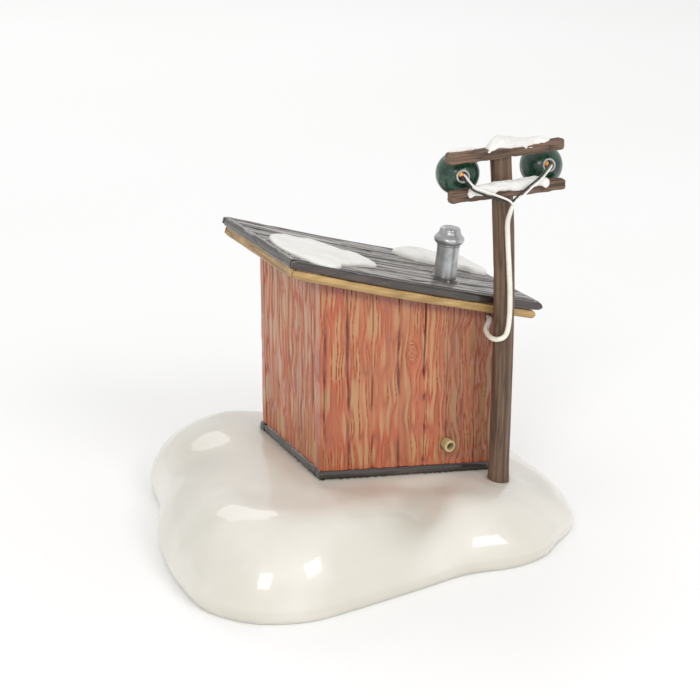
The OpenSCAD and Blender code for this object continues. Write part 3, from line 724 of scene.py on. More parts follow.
# %% The two short walls
def short_wall(name, x_out, x_in, seed):
    """A wall along y between the long walls, level at its foot and its top."""
    y0, y1 = HUT_Y0 + WALL_T, HUT_Y1 - WALL_T
    across = grid_lines([y0, y1], WALL_GRID)
    bottom, top = float(sill_z(x_out)) - TUCK, float(soffit_z(x_out))
    z = ruled(np.array([np.full_like(across, bottom), np.full_like(across, top)]), 150)
    y = np.broadcast_to(across, z.shape)
    depth, paint = board_carving(y, z, np.arange(y0 + 3.0, y1, 8.0), seed)
    paint |= wall_shades(z, bottom, top)
    return carved_plate(name, wall_finish, y, z, depth, paint, (x_out, x_in), order=(1, 0, 2))


short_wall("low_wall", HUT_X1, HUT_X1 - WALL_T, 3)
short_wall("high_wall", HUT_X0, HUT_X0 + WALL_T, 4)

# %% [markdown]
# ## Bars: one section carried along a line
# Sills, planks, trims and the cross-arms are all a round-cornered rectangle carried along
# a line. The section's own outward normals let the same code press grain into it and
# round off its ends: moving every point inward by r - sqrt(r^2 - s^2) near an end gives
# a true quarter round.

# %% Sections and bars
def round_rectangle(width, height, corner, count):
    """Closed outline with its outward normals.

    Four quarter circles of radius corner about the corner centres, resampled evenly round
    the outline.
    """
    quarter = np.linspace(0, np.pi / 2, 9)
    turn = np.concatenate([quarter + k * np.pi / 2 for k in range(4)])
    centre = np.repeat([[1, 1], [-1, 1], [-1, -1], [1, -1]], 9, axis=0)
    centre = centre * [width / 2 - corner, height / 2 - corner]
    normal = np.stack([np.cos(turn), np.sin(turn)], 1)
    line = np.vstack([centre + corner * normal, (centre + corner * normal)[:1]])
    normal = np.vstack([normal, normal[:1]])
    run = np.concatenate([[0], np.cumsum(np.linalg.norm(np.diff(line, axis=0), axis=1))])
    at = np.linspace(0, run[-1], count, endpoint=False)
    out = np.stack([np.interp(at, run, line[:, k]) for k in (0, 1)], 1)
    facing = np.stack([np.interp(at, run, normal[:, k]) for k in (0, 1)], 1)
    return out, facing / np.linalg.norm(facing, axis=1)[:, None]


def stations(length, radius, pitch):
    """Distances along a bar with its ends rounded, and how far each ring is drawn in.

    At r(1-cos t) from an end the ring is drawn in by r(1-sin t).
    """
    t = np.linspace(0.06, np.pi / 2, 7)
    near, drawn = radius * (1 - np.cos(t)), radius * (1 - np.sin(t))
    middle = grid_lines([radius, length - radius], pitch)[1:-1]
    at = np.concatenate([near, middle, length - near[::-1]])
    return at, np.concatenate([drawn, 0 * middle, drawn[::-1]])


def carry(centres, side, up, section, facing, drawn):
    """Rings of a section carried along a line.

    A point is centre + a*side + b*up, with (a, b) moved inward by drawn along the
    section's normal.
    """
    a = section[None, :, 0] - facing[None, :, 0] * drawn
    b = section[None, :, 1] - facing[None, :, 1] * drawn
    return centres[:, None] + a[..., None] * side + b[..., None] * up


def wooden_bar(start, end, side, up, width, height, corner, end_round, wood, seed, pitch=0.35,
               sag=0.0, joint=0.0):  # fmt: skip
    """A straight bar with pressed grain, as a closed skin and its fields.

    wood = (across pitch, run, cut depth, chip depth). Chips are broad dents, deepest at
    the upper and lower edges. The middle hangs by sag, and joint darkens the side edges.
    """
    start, end = np.array(start, float), np.array(end, float)
    length = np.linalg.norm(end - start)
    at, drawn = stations(length, end_round, pitch)
    count = int(2 * (width + height) / 0.22)
    section, facing = round_rectangle(width, height, corner, count)
    centres = start + at[:, None] * (end - start) / length
    centres = centres - sag * np.sin(np.pi * at / length)[:, None] * np.array(up)
    a, b, s = section[None, :, 0], section[None, :, 1], at[:, None]
    pitch_across, run, cut_depth, chip_depth = wood
    cut, stain = grain(a, b, s, pitch_across, run, seed)
    dent = step(soft_noise(s / 2.4, np.sign(b) * 2, a / 3, seed + 3), -0.1, 0.7)
    chips = dent * step(np.abs(b), 0.28 * height, 0.5 * height)
    depth = cut_depth * cut + chip_depth * chips
    rings = carry(centres, np.array(side), np.array(up), section, facing, drawn[:, None] + depth)
    uneven = 0.75 + 0.25 * soft_noise(s / 9, np.sign(a) * 3, seed=seed + 4)
    edge = joint * uneven * step(np.abs(a), 0.5 * width - 1.7, 0.5 * width - 0.7)
    # The side edges are dark joints; the cuts are darkened as painted shade.
    fields = per_point(rings, 0.3, groove=np.maximum(cut, edge))
    return closed_skin(rings), fields | per_point(rings, 0.5, stain=stain)


print("section points", len(round_rectangle(3.4, 3.5, 1.0, 60)[0]))

# %% [markdown]
# ## Dark glazed timber
# Sills and roof edges are painted dark brown and glazed thickly. A strong clear coat over
# dark, streaked paint gives that. The lighter worn tone sits between the cuts of the
# grain, and the darkest tone in them, partly dark stain and partly painted shade.

# %% Timber finishes
def timber_finish(name, base, light, dark, along, coat, coat_rough, rough, relief):
    f = Finish(name)
    streak = f.noise(along, 3, 0.65)
    blotch = f.noise(130, 2)
    colour = f.mix(f.between(streak, 0.35, 0.70), base, light)
    # The stain field is the grain's stain, and on the tan boards also painted shade on their
    # undersides.
    colour = f.mix(f.between(f.field("stain"), 0.2, 1.0) * 0.45, colour, dark)
    # Dark joints between planks, and painted shade in the grain's cuts.
    colour = f.mix(f.between(f.field("groove"), 0.35, 1.0) * 0.7, colour, dark)
    colour = f.mix(f.between(blotch, 0.5, 0.75) * 0.3, colour, dark)
    normal = f.bump(streak, relief)
    return f.done(
        colour, rough + 0.15 * streak, normal, Coat_Weight=coat, Coat_Roughness=coat_rough
    )


dark_trim = timber_finish(
    "dark_trim", "#2c211b", "#453831", "#130d0b", (60, 800, 800), 1.0, 0.05, 0.32, 0.0001
)
print("dark trim nodes", len(dark_trim.node_tree.nodes))

# %% Sills round the foot of the walls
SILL_PROUD, SEAT = 0.6, 0.6


def sill_bar(name, start, end, seed):
    """A sill from start to end, given as plan points on its middle line; it follows the
    snow's slope.
    """
    thick = WALL_T + SILL_PROUD
    low = np.array([*start, float(snow_z(start[0])) + (SILL_H - SEAT) / 2])
    high = np.array([*end, float(snow_z(end[0])) + (SILL_H - SEAT) / 2])
    run = (high - low) / np.linalg.norm(high - low)
    side = np.cross([0, 0, 1.0], run)
    side /= np.linalg.norm(side)
    up = np.cross(run, side)
    bar, fields = wooden_bar(low, high, side, up, thick, SILL_H + SEAT, 1.25, 0.6,
                             (0.9, 16.0, 0.10, 0.12), seed)  # fmt: skip
    return make_piece(name, [bar], dark_trim, fields)


mid = (WALL_T - SILL_PROUD) / 2
ENDS_X, ENDS_Y = (HUT_X0 - SILL_PROUD, HUT_X1 + SILL_PROUD), (HUT_Y0 + WALL_T, HUT_Y1 - WALL_T)
for name, y, seed in (("back_sill", HUT_Y0 + mid, 11), ("front_sill", HUT_Y1 - mid, 12)):
    sill_bar(name, (ENDS_X[0], y), (ENDS_X[1], y), seed)
for name, x, seed in (("low_sill", HUT_X1 - mid, 13), ("high_sill", HUT_X0 + mid, 14)):
    sill_bar(name, (x, ENDS_Y[0]), (x, ENDS_Y[1]), seed)

# %% [markdown]
# ## The roof
# Five planks run down the fall between dark edges, with tan boards under the edges. The
# roof has its own frame: its x runs down the slope and ends at 0 on the low edge, its z
# stands off the boards. Everything on the roof is worked out there and turned once.

# %% The roof's frame
ROOF_X0, ROOF_Y0, ROOF_Y1, TRIM_T, SAG = -27.5, -25.0, 26.0, 1.8, 0.7
ROOF_LEN = (ROOF_X1 - ROOF_X0) / math.cos(ROOF_FALL)
DOWN = np.array([math.cos(ROOF_FALL), 0, -math.sin(ROOF_FALL)])
OFF = np.array([math.sin(ROOF_FALL), 0, math.cos(ROOF_FALL)])
LEVEL = np.array([0, 1.0, 0])


def on_roof(x, y, z):
    """A point of the roof's frame.

    It is the low edge plus x down the slope, y level and z off the boards, less a sag of
    SAG * sin(pi * share of the slope).
    """
    edge = np.array([ROOF_X1, 0, ROOF_Z1])
    x, y, z = (np.asarray(v, float)[..., None] for v in (x, y, z))
    z = z - SAG * np.sin(np.pi * np.clip(-x / ROOF_LEN, 0, 1))
    return edge + x * DOWN + y * LEVEL + z * OFF


print("roof length", round(ROOF_LEN, 2))


# %% Finish of the planks
def roof_finish():
    f = Finish("roof_boards")
    turn = (0, -ROOF_FALL, 0)
    streak = f.noise((55, 900, 900), 4, 0.7, turn)
    broad = f.noise((30, 260, 260), 2, 0.5, turn)
    colour = f.mix(f.between(streak, 0.32, 0.68), "#574f48", "#a39e97")
    colour = f.mix(f.between(broad, 0.45, 0.66) * 0.65, colour, "#5b4436")
    colour = f.mix(f.between(f.field("stain"), 0.3, 1.0) * 0.35, colour, "#41332b")
    # Dark joints between the planks, and painted shade in the grain's cuts.
    colour = f.mix(f.between(f.field("groove"), 0.25, 0.8) * 0.9, colour, "#1f1713")
    rough = 0.30 + 0.2 * streak
    return f.done(colour, rough, f.bump(streak, 0.00015), Coat_Weight=0.75, Coat_Roughness=0.10)


roof_paint = roof_finish()
BOARDS = 5
DECK_Y0, DECK_Y1 = ROOF_Y0 + TRIM_T, ROOF_Y1 - TRIM_T
BOARD_W = (DECK_Y1 - DECK_Y0) / BOARDS

# %% The five planks
for number in range(1, BOARDS + 1):
    middle = DECK_Y0 + (number - 0.5) * BOARD_W
    bar, fields = wooden_bar(
        on_roof(TRIM_T - ROOF_LEN, middle, -ROOF_T / 2), on_roof(-TRIM_T, middle, -ROOF_T / 2),
        LEVEL, OFF, BOARD_W, ROOF_T, 0.9, 0.2, (1.1, 20.0, 0.26, 0.0), 20 + number,
        sag=SAG, joint=1.0,
    )  # fmt: skip
    name = f"roof_board_{number}"
    make_piece(name, [bar], roof_paint, fields)

# %% [markdown]
# ## Roof edges
# The dark edge strips stand level with the planks, and their low ends are rounded. Under
# them run the tan boards, a little set back and shorter, rounded underneath at the end.

# %% Edge strips and tan boards
RAKE_T, RAKE_SET, RAKE_SHORT, RAKE_H = 1.4, 0.5, 1.3, 2.7
tan_trim = timber_finish(
    "tan_trim", "#b18c54", "#c7a66e", "#7d6135", (45, 500, 500), 0.35, 0.25, 0.42, 0.00008
)


def rake_strip(name, x0, x1, y_mid, thick, top, tall, corner, finish, seed):
    """A strip along the fall whose low end is a half round.

    The section's height closes as sqrt(1 - s^2) over the last half height.
    """
    at = grid_lines([x0, x1 - tall / 2], 0.4)
    t = np.linspace(0, np.pi / 2, 12)[1:] * 0.985
    at = np.concatenate([at, x1 - tall / 2 + np.sin(t) * tall / 2])
    squash = np.concatenate([np.ones(len(at) - len(t)), np.cos(t)])
    section, facing = round_rectangle(thick, tall, corner, 64)
    a, b = section[None, :, 0], section[None, :, 1]
    cut, stain = grain(a, b, at[:, None], 0.9, 15.0, seed)
    wave = 0.10 * (1 + soft_noise(at[:, None] / 7, b / 3, a / 3, seed + 1))
    drawn = (0.09 * cut + wave) * squash[:, None]
    start = stations(10.0, 0.4, 1.0)[1][:7]
    drawn[:7] += start[:, None]
    a = a - facing[None, :, 0] * drawn
    b = (b - facing[None, :, 1] * drawn) * squash[:, None]
    rings = on_roof(at[:, None] + 0 * a, y_mid + a, top - tall / 2 + b)
    # Painted shade on the strip's underside, carried in the stain field with the grain's stain.
    under = step(-b, 0.05, 0.5 * tall)
    fields = per_point(rings, groove=0.6 * cut, stain=np.clip(0.6 * stain + under, 0, 1))
    return make_piece(name, [closed_skin(rings)], finish, fields)


for side, y_edge, inward, seed in (("back", ROOF_Y0, 1, 31), ("front", ROOF_Y1, -1, 32)):
    rake_strip(f"{side}_verge_trim", -ROOF_LEN, 0.0, y_edge + inward * TRIM_T / 2,
               TRIM_T, 0.0, ROOF_T, 0.75, dark_trim, seed)  # fmt: skip
    rake_strip(f"{side}_rake_board", RAKE_SHORT - ROOF_LEN, -RAKE_SHORT,
               y_edge + inward * (RAKE_SET + RAKE_T / 2), RAKE_T, -ROOF_T, RAKE_H, 0.45,
               tan_trim, seed + 4)  # fmt: skip

# %% Strips across the low and high ends
def cross_bar(name, x, width, top, tall, y_gap, corner, finish, seed):
    """A bar across the roof in the middle of x, width wide along the slope."""
    ends = [on_roof(x, y, top - tall / 2) for y in (ROOF_Y0 + y_gap, ROOF_Y1 - y_gap)]
    bar, fields = wooden_bar(*ends, DOWN, OFF, width, tall, corner, 0.15,
                             (0.9, 15.0, 0.09, 0.05), seed)  # fmt: skip
    return make_piece(name, [bar], finish, fields)


LOW_BOARD_X = -(RAKE_SHORT + RAKE_H / 2) - RAKE_T / 2
HIGH_BOARD_X = RAKE_SHORT + RAKE_T / 2 - ROOF_LEN
TRIM, BOARD = (0, ROOF_T, TRIM_T), (-ROOF_T, RAKE_H, RAKE_SET + RAKE_T)
for name, x, width, level, corner, finish, seed in (
    ("low_eave_trim", -TRIM_T / 2, TRIM_T, TRIM, 0.8, dark_trim, 41),
    ("high_eave_trim", TRIM_T / 2 - ROOF_LEN, TRIM_T, TRIM, 0.45, dark_trim, 42),
    ("low_eave_board", LOW_BOARD_X, RAKE_T, BOARD, 0.4, tan_trim, 43),
    ("high_eave_board", HIGH_BOARD_X, RAKE_T, BOARD, 0.4, tan_trim, 44),
):
    cross_bar(name, x, width, *level, corner, finish, seed)

# %% [markdown]
# ## Snow on the roof
# Two patches of snow lie on the planks like poured icing: a crisp scalloped outline, a
# rounded lip less than 2.5 mm high, and an almost flat top. The outline is drawn in ring by
# ring, and the height follows a quarter round near the edge.

# %% Snow finish
def snow_finish(name, white, shade, rough, coat, tooth, tooth_scale):
    f = Finish(name)
    cloud = f.noise(160, 3)
    tiny = f.noise(tooth_scale, 3, 0.6)
    colour = f.mix(f.between(cloud, 0.35, 0.65), white, shade)
    # Painted shade in the dips of the snow and on its rounded lip.
    colour = f.mix(f.field("hollow") * 0.6, colour, "#c9c6c0")
    colour = f.mix(f.between(tiny, 0.62, 0.8) * 0.25, colour, "#cfcbc2")
    normal = f.bump(tiny, tooth)
    return f.done(colour, rough + 0.15 * tiny, normal, Coat_Weight=coat, Coat_Roughness=0.2)


roof_white = snow_finish("roof_snow", "#f3f1ec", "#eceae4", 0.42, 0.25, 0.00010, 900)

HIGH_PATCH = [
    [0.862, 0.012], [0.812, 0.04], [0.787, 0.12], [0.733, 0.165], [0.669, 0.225],
    [0.609, 0.255], [0.58, 0.35], [0.582, 0.46], [0.604, 0.54], [0.649, 0.56],
    [0.689, 0.63], [0.753, 0.69], [0.862, 0.68], [0.951, 0.52], [0.975, 0.25], [0.931, 0.05],
]  # fmt: skip
LOW_PATCH = [
    [0.357, 0.82], [0.323, 0.74], [0.288, 0.675], [0.209, 0.655], [0.13, 0.65],
    [0.080, 0.585], [0.033, 0.575], [0.014, 0.63], [0.012, 0.80], [0.018, 0.965],
    [0.061, 0.99], [0.16, 0.99], [0.249, 0.965], [0.318, 0.90],
]  # fmt: skip


# %% Two patches
def roof_patch(name, outline, height, seed):
    """Rings of the outline, s times its size about its middle.

    With d the ring's distance in from the edge, the top is height * lip, where lip is
    (1 - (1 - min(d / 2.6, 1))^2.4)^0.5, and a slow noise makes it uneven.
    """
    line = smooth_line(outline, 14, closed=True)
    plan = np.stack([-line[:, 0] * ROOF_LEN, ROOF_Y0 + line[:, 1] * (ROOF_Y1 - ROOF_Y0)], 1)
    middle = (plan.min(0) + plan.max(0)) / 2
    reach = np.linalg.norm(plan - middle, axis=1)[None]
    edge = 0.10 * soft_noise(plan[:, 0] / 1.6, plan[:, 1] / 1.6, seed=seed)[None]
    lip_rings, top_rings = 1 - np.linspace(0, 1, 18)[1:] ** 2 * 0.3, np.linspace(0.7, 0.02, 24)[1:]
    s = np.concatenate([[1, 1], lip_rings, top_rings])
    d = (1 - s)[:, None] * reach
    lip = (1 - (1 - np.clip(d / 2.6, 0, 1)) ** 2.4) ** 0.5
    wide = s[:, None] - np.clip(edge + 0.1, 0, 1) / reach
    flat = middle + (plan - middle)[None] * wide[..., None]
    x, y = flat[..., 0], flat[..., 1]
    uneven = 0.72 + 0.20 * soft_noise(x / 6, y / 6, seed=seed + 1)
    uneven = uneven + 0.05 * soft_noise(x / 1.5, y / 1.5, seed=seed + 2)
    z = 0.25 + (height * uneven - 0.25) * lip
    z[0] = -0.15
    rings = on_roof(x, y, z)
    # Painted shade on the rounded lip, darker towards the edge.
    fields = per_point(rings, hollow=0.6 * (1 - lip))
    return make_piece(name, [closed_skin(rings)], roof_white, fields, 55)


roof_patch("high_roof_snow", HIGH_PATCH, 1.6, 51)
roof_patch("low_roof_snow", LOW_PATCH, 2.4, 53)

# %% [markdown]
# ## The stovepipe
# Turned things are easiest as a profile spun round an axis. The pipe leans a little, has
# a bulging ring and a knob on top, and stands in a low collar that lies flat on the roof.
# Silver paint over clay is darker at the foot, and a thin line of painted shade lies under the cap.

# %% Silver paint
def silver_finish():
    f = Finish("silver_paint")
    brushed = f.noise(220, 3, 0.6)
    flake = f.noise(3200, 1)
    colour = f.mix(f.between(brushed, 0.3, 0.7), "#9a9b9c", "#c6c7c8")
    chip = f.noise(700, 2, 0.6)
    # Darker at the foot, and painted shade in a thin line under the cap.
    colour = f.mix(f.field("pooled") * 0.8, colour, "#55524f")
    colour = f.mix(f.between(chip, 0.60, 0.68) * f.field("pooled") * 0.8, colour, "#c9c3b8")
    rough = 0.26 + 0.14 * flake + 0.25 * f.field("pooled")
    normal = f.bump(brushed * 0.7 + flake * 0.3, 0.00012)
    return f.done(colour, rough, normal, Metallic=0.7, Coat_Weight=0.3, Coat_Roughness=0.1)


silver = silver_finish()


def turned_axes(axis):
    """Two directions square to the axis and to each other."""
    axis = np.array(axis, float) / np.linalg.norm(axis)
    other = np.array([0, 0, 1.0]) if abs(axis[2]) < 0.9 else np.array([1.0, 0, 0])
    a = np.cross(other, axis)
    a /= np.linalg.norm(a)
    return axis, a, np.cross(axis, a)


def turned(profile, count, at, axis, dent=0.0):
    """Rings of a profile of (radius, height) about an axis.

    A point is at + height*axis + radius*(cos t * a + sin t * b), with the radius changed
    by dent.
    """
    axis, a, b = turned_axes(axis)
    t = np.linspace(0, 2 * np.pi, count, endpoint=False)
    ring = np.cos(t)[:, None] * a + np.sin(t)[:, None] * b
    radius = np.maximum(profile[:, :1] + dent, 0.01)
    return np.array(at) + (profile[:, 1, None] * axis)[:, None] + radius[..., None] * ring


# %% Pipe, cap and collar
PIPE_X, PIPE_Y, PIPE_R, PIPE_H, LEAN = 26.8, -11.6, 3.35, 16.0, math.radians(6)
pipe_axis = np.array([math.sin(LEAN), 0, math.cos(LEAN)])
pipe_foot = on_roof((PIPE_X - ROOF_X1) / math.cos(ROOF_FALL), PIPE_Y, 0)
CAP_Z = 0.66 * PIPE_H


def spun_piece(name, keys, axis, finish, dents, pooled=None, count=96):
    """A closed spun piece on the pipe's foot, from keys (radius beyond the pipe's, height)."""
    profile = smooth_line(np.array(keys) + [PIPE_R, 0], 6)
    t = np.linspace(0, 2 * np.pi, count, endpoint=False)[None]
    h = profile[:, 1:]
    dent = dents * (0.6 * np.cos(4 * t + 0.5) + soft_noise(np.cos(t) * 2, np.sin(t) * 2, h / 3, 7))
    rings = turned(profile, count, pipe_foot, axis, dent)
    fields = per_point(rings, pooled=pooled(h, t) if pooled else 0.0)
    return make_piece(name, [closed_skin(rings)], finish, fields, 50)


def pipe_pool(h, t):
    """Dark at the foot with a broken edge, and a thin line of painted shade under the cap."""
    edge = 1.0 + 0.7 * soft_noise(np.cos(t) * 3, np.sin(t) * 3, 0.0, 8)
    return np.clip(step(-h, -edge - 0.8, -edge * 0.4) + hump(h - CAP_Z, 0.35), 0, 1)


AXLE = 0.2 - PIPE_R
spun_piece("stovepipe", [
    [AXLE, -1.6], [0, -1.6], [0, -1.5], [-0.08, 1.2], [-0.05, 5.0], [-0.1, 8.5],
    [-0.02, CAP_Z - 0.1], [-0.3, CAP_Z], [AXLE, CAP_Z],
], pipe_axis, silver, 0.05, pipe_pool)  # fmt: skip
cap = np.array([
    [AXLE, 0], [-0.2, 0], [0.1, 0.25], [0.8, 0.9], [1.12, 1.7], [0.92, 2.35], [0.38, 2.95],
    [-0.02, 3.45], [-0.22, 4.0], [-0.34, 4.5], [-0.62, 5.0], [-1.15, 5.33], [-1.6, 5.25],
    [-2.1, 5.35], [AXLE, 5.38],
])  # fmt: skip
spun_piece("stovepipe_cap", cap + [0, CAP_Z], pipe_axis, silver, 0.05)
spun_piece("stovepipe_collar", [
    [AXLE, -0.3], [0.9, -0.3], [0.95, 0.05], [0.7, 0.55], [0.2, 0.8], [AXLE, 0.85],
], OFF, dark_trim, 0.06)  # fmt: skip

# %% [markdown]
# ## The lamp post and its arms
# These parts are cast resin painted like weathered wood: matt brown with fine carved
# grain. The post is a round section carried along a line that leans near the top; the
# arms are flat bars with chipped edges.

# %% Resin wood finish
post_wood = timber_finish(
    "post_wood", "#68503f", "#7b634f", "#43311f", (900, 900, 40), 0.08, 0.3, 0.55, 0.00012
)
arm_wood = timber_finish(
    "arm_wood", "#68503f", "#836853", "#36261a", (45, 700, 700), 0.08, 0.3, 0.55, 0.00015
)

POST_SEAT, POST_BEND, POST_TOP = 9.0, 74.085, 116.0
POST_LINE = [[POST_X, POST_Y, POST_SEAT], [36.7, POST_Y, POST_BEND], [34.0, POST_Y, POST_TOP]]


# %% The post
def lamp_post():
    """A circle carried up a smooth line, with grain along it and a rounded top edge.

    At h mm from the snow the foot swells by up to 0.15 * exp(-(h/2.2)^2) * 1.5 mm.
    """
    line = smooth_line(POST_LINE, 150)
    line = line[np.append(True, np.diff(line[:, 2]) > 1e-6)]
    line[-1, 2] = POST_TOP
    t = np.linspace(0, 2 * np.pi, 96, endpoint=False)[None]
    z = line[:, 2:]
    r = POST_D / 2
    a, b = r * np.cos(t), r * np.sin(t)
    cut, stain = grain(a, b, z, 0.6, 18.0, 61)
    broad = soft_noise(a / 3, b / 3, z / 14, 62)
    foot_z = float(snow_z(POST_X))
    radius = r - 0.12 * cut - 0.08 * (1 + broad) - 0.05 * step(z, foot_z + 1, foot_z + 4)
    radius = radius + 0.15 * hump(z - foot_z, 2.2) * (1 + 0.5 * np.cos(3 * t))
    top = np.clip((POST_TOP - z) / 0.8, 0, 1)
    radius = radius - 0.8 * (1 - np.sqrt(1 - (1 - top) ** 2))
    x, y = line[:, :1] + radius * np.cos(t), line[:, 1:2] + radius * np.sin(t)
    rings = np.stack(np.broadcast_arrays(x, y, z), -1)
    # Painted shade in the cuts of the grain.
    fields = per_point(rings, groove=cut, stain=stain)
    return make_piece("lamp_post", [closed_skin(rings)], post_wood, fields, 50)


lamp_post()

# %% The two arms
ARM_Y0, ARM_Y1, ARM_L, ARM_H, ARM_T = -33.2, -29.8, 37.0, 3.5, 3.4
UPPER, LOWER, TILT = (33.9, 115.85), (34.9, 104.55), math.radians(1.4)
ARM_Y = (ARM_Y0 + ARM_Y1) / 2


def crossarm(name, x, z, tilt, seed):
    """A bar along x whose +x end is tilted up."""
    along = np.array([math.cos(tilt), 0, math.sin(tilt)])
    up = np.array([-math.sin(tilt), 0, math.cos(tilt)])
    ends = [np.array([x, ARM_Y, z]) + k * ARM_L / 2 * along for k in (-1, 1)]
    bar, fields = wooden_bar(*ends, LEVEL, up, ARM_T, ARM_H, 1.0, 0.9,
                             (0.6, 12.0, 0.16, 0.22), seed, pitch=0.25)  # fmt: skip
    return make_piece(name, [bar], arm_wood, fields, 50)


crossarm("upper_crossarm", *UPPER, TILT, 64)
crossarm("lower_crossarm", *LOWER, 0.0, 65)

# %% [markdown]
# ## Snow on the arms
# Thick white paste, laid on with a small tool and left matt: a fat lump at one end that
# thins along the arm, and lobes that hang over the front edge. Each ridge is a ring of
# changing size carried along the arm, with lobes from noise that is stronger below.

# %% Arm snow
arm_white = snow_finish("arm_snow", "#efede9", "#e4e2dd", 0.62, 0.05, 0.00022, 1400)


def snow_ridge(keys, seed, lobes, count=64):
    """Rings in the upright plane along a smooth line of (x, y, z, radius).

    The ring's y and z follow the cosine and sine of the angle, the radius swells and
    shrinks with noise, and the front lower quarter hangs by lobes mm of a noise along x.
    """
    line = smooth_line(keys, 22)
    x0, cy, cz, r = (line[:, k : k + 1] for k in range(4))
    t = np.linspace(0, 2 * np.pi, count, endpoint=False)[None]
    bumpy = 1 + 0.16 * soft_noise(x0 / 2.1, np.cos(t) * 1.3, np.sin(t) * 1.3, seed)
    bumpy = bumpy + 0.07 * soft_noise(x0 / 0.9, np.cos(t) * 3, np.sin(t) * 3, seed + 1)
    front_low = np.clip(-np.cos(t), 0, 1) * np.clip(-np.sin(t) + 0.35, 0, 1)
    hang = lobes * front_low * step(soft_noise(x0 / 2.6, 0.5, 0.5, seed + 2), -0.35, 0.55)
    s = np.arange(len(line))[:, None] / (len(line) - 1)
    close = np.sqrt(np.clip(1 - (1 - np.clip(np.minimum(s, 1 - s) / 0.09, 0, 1)) ** 2, 0.0004, 1))
    radius = r * bumpy * close
    y = cy + radius * np.cos(t) * 1.05 - 0.2 * hang
    z = cz + radius * np.sin(t) * 0.95 - hang * close
    x = x0 + 0 * t + 0.25 * soft_noise(np.cos(t) * 2, np.sin(t) * 2, x0 / 3, seed + 3)
    # Painted shade in the dips of the bumpy snow.
    hollow = np.clip(1.02 - bumpy, 0, 0.3) * 2.5
    rings = np.stack([x, y, z], -1)
    return closed_skin(rings), per_point(rings, hollow=hollow)["hollow"]


def snow_on_arm(name, ridges, tilt=0.0):
    """Ridges drawn for a level arm and then lifted by (x - middle) * tan(tilt)."""
    parts, hollows = zip(*[snow_ridge(*ridge) for ridge in ridges])
    for points, _ in parts:
        points[:, 2] += (points[:, 0] - UPPER[0]) * math.tan(tilt)
    return make_piece(name, list(parts), arm_white, {"hollow": np.concatenate(hollows)}, 60)


def ridge(keys, middle, back, top):
    """Ridge keys (x, y, z, radius) given from the arm's middle, one of its faces and its
    top.
    """
    return (np.array(keys) + [middle, back, top, 0]).tolist()


top_u, top_l = UPPER[1] + ARM_H / 2, LOWER[1] + ARM_H / 2
lump = ridge([
    [-6.6, -1.0, -0.3, 0.7], [-5.2, -0.7, 0.3, 1.35], [-2.8, -0.3, 1.35, 1.85],
    [-0.4, -0.2, 1.0, 1.75], [3, -0.2, 0.1, 1.6], [7, -0.1, -0.1, 1.5], [11, 0, -0.2, 1.3],
    [14.5, 0, -0.5, 0.9],
], UPPER[0], ARM_Y, top_u)  # fmt: skip
dusting = ridge([
    [-17.5, 0.9, -0.5, 0.7], [-14.5, 0.8, -0.2, 1.0], [-11, 0.8, -0.3, 0.9], [-8.5, 0.6, -0.6, 0.6],
], UPPER[0], ARM_Y, top_u)  # fmt: skip
lobed = ridge([
    [-13.6, 0.2, -0.9, 0.7], [-12.0, 0.4, -0.5, 1.15], [-9, 0.6, -0.1, 1.3], [-5, 0.6, 0, 1.45],
    [-1.5, 0.7, 0.1, 1.5], [2, 0.6, 0, 1.5], [6, 0.6, 0.1, 1.5], [10, 0.6, 0, 1.4],
    [13, 0.6, -0.3, 0.9],
], LOWER[0], ARM_Y0, top_l)  # fmt: skip
snow_on_arm("upper_arm_snow", [(lump, 71, 1.0), (dusting, 75, 0.0)], TILT)
snow_on_arm("lower_arm_snow", [(lobed, 79, 1.3)])

# %% [markdown]
# ## The lamps
# Each lamp is a hollow green globe, open to the front where the amber bulb shows, with
# a small hole behind where its wires come in through a pale rim. The globe is a closed
# profile, outer wall then inner wall, spun round the lamp's own aim. Its enamel is
# mottled: dark and light green flecks float under a thick clear coat.

# %% Enamel, amber and rim finishes
def enamel_finish():
    f = Finish("green_enamel")
    mottle = f.noise(420, 3, 0.7)
    fleck = f.noise(1300, 2, 0.6)
    colour = f.mix(f.between(mottle, 0.38, 0.62), "#0a281c", "#174a34")
    colour = f.mix(f.between(fleck, 0.58, 0.72) * 0.4, colour, "#3c7a5e")
    colour = f.mix(f.between(fleck, 0.42, 0.30, 0.0, 1.0) * 0.5, colour, "#08211a")
    return f.done(colour, 0.28 + 0.15 * fleck, f.bump(mottle, 0.00008), Coat_Weight=0.7,
                  Coat_Roughness=0.05, Coat_IOR=1.38)  # fmt: skip


def amber_finish(name, deep, bright, glow):
    f = Finish(name)
    swirl = f.noise(260, 3)
    colour = f.mix(f.between(swirl, 0.3, 0.7), deep, bright)
    # Painted shade: the bulb's socket end, seen through the hole behind the globe, is painted near
    # black.
    colour = f.mix(f.field("socket"), colour, "#120e0c")
    return f.done(colour, 0.18 + 0.1 * swirl, f.bump(swirl, 0.00008), Coat_Weight=0.8,
                  Coat_Roughness=0.06, Emission_Color=colour, Emission_Strength=glow)  # fmt: skip


def plastic_finish(name, base, light, dirt, rough, scale=500):
    """Moulded plastic: a faint mottle, a finer bloom, and grime where the noise is high."""
    f = Finish(name)
    mottle = f.noise(scale, 3)
    bloom = f.noise(scale * 5, 1)
    colour = f.mix(f.between(mottle, 0.35, 0.65), base, light)
    colour = f.mix(f.between(mottle * 0.6 + bloom * 0.4, 0.55, 0.70) * 0.3, colour, dirt)
    normal = f.bump(bloom, 0.00005)
    return f.done(colour, rough + 0.15 * bloom, normal, Coat_Weight=0.2, Coat_Roughness=0.15)


enamel = enamel_finish()
amber = amber_finish("amber_bulb", "#d9821c", "#f0a63a", 0.15)
rim_silver = plastic_finish("grommet", "#a9aaaa", "#c4c5c5", "#77746f", 0.3, 700)

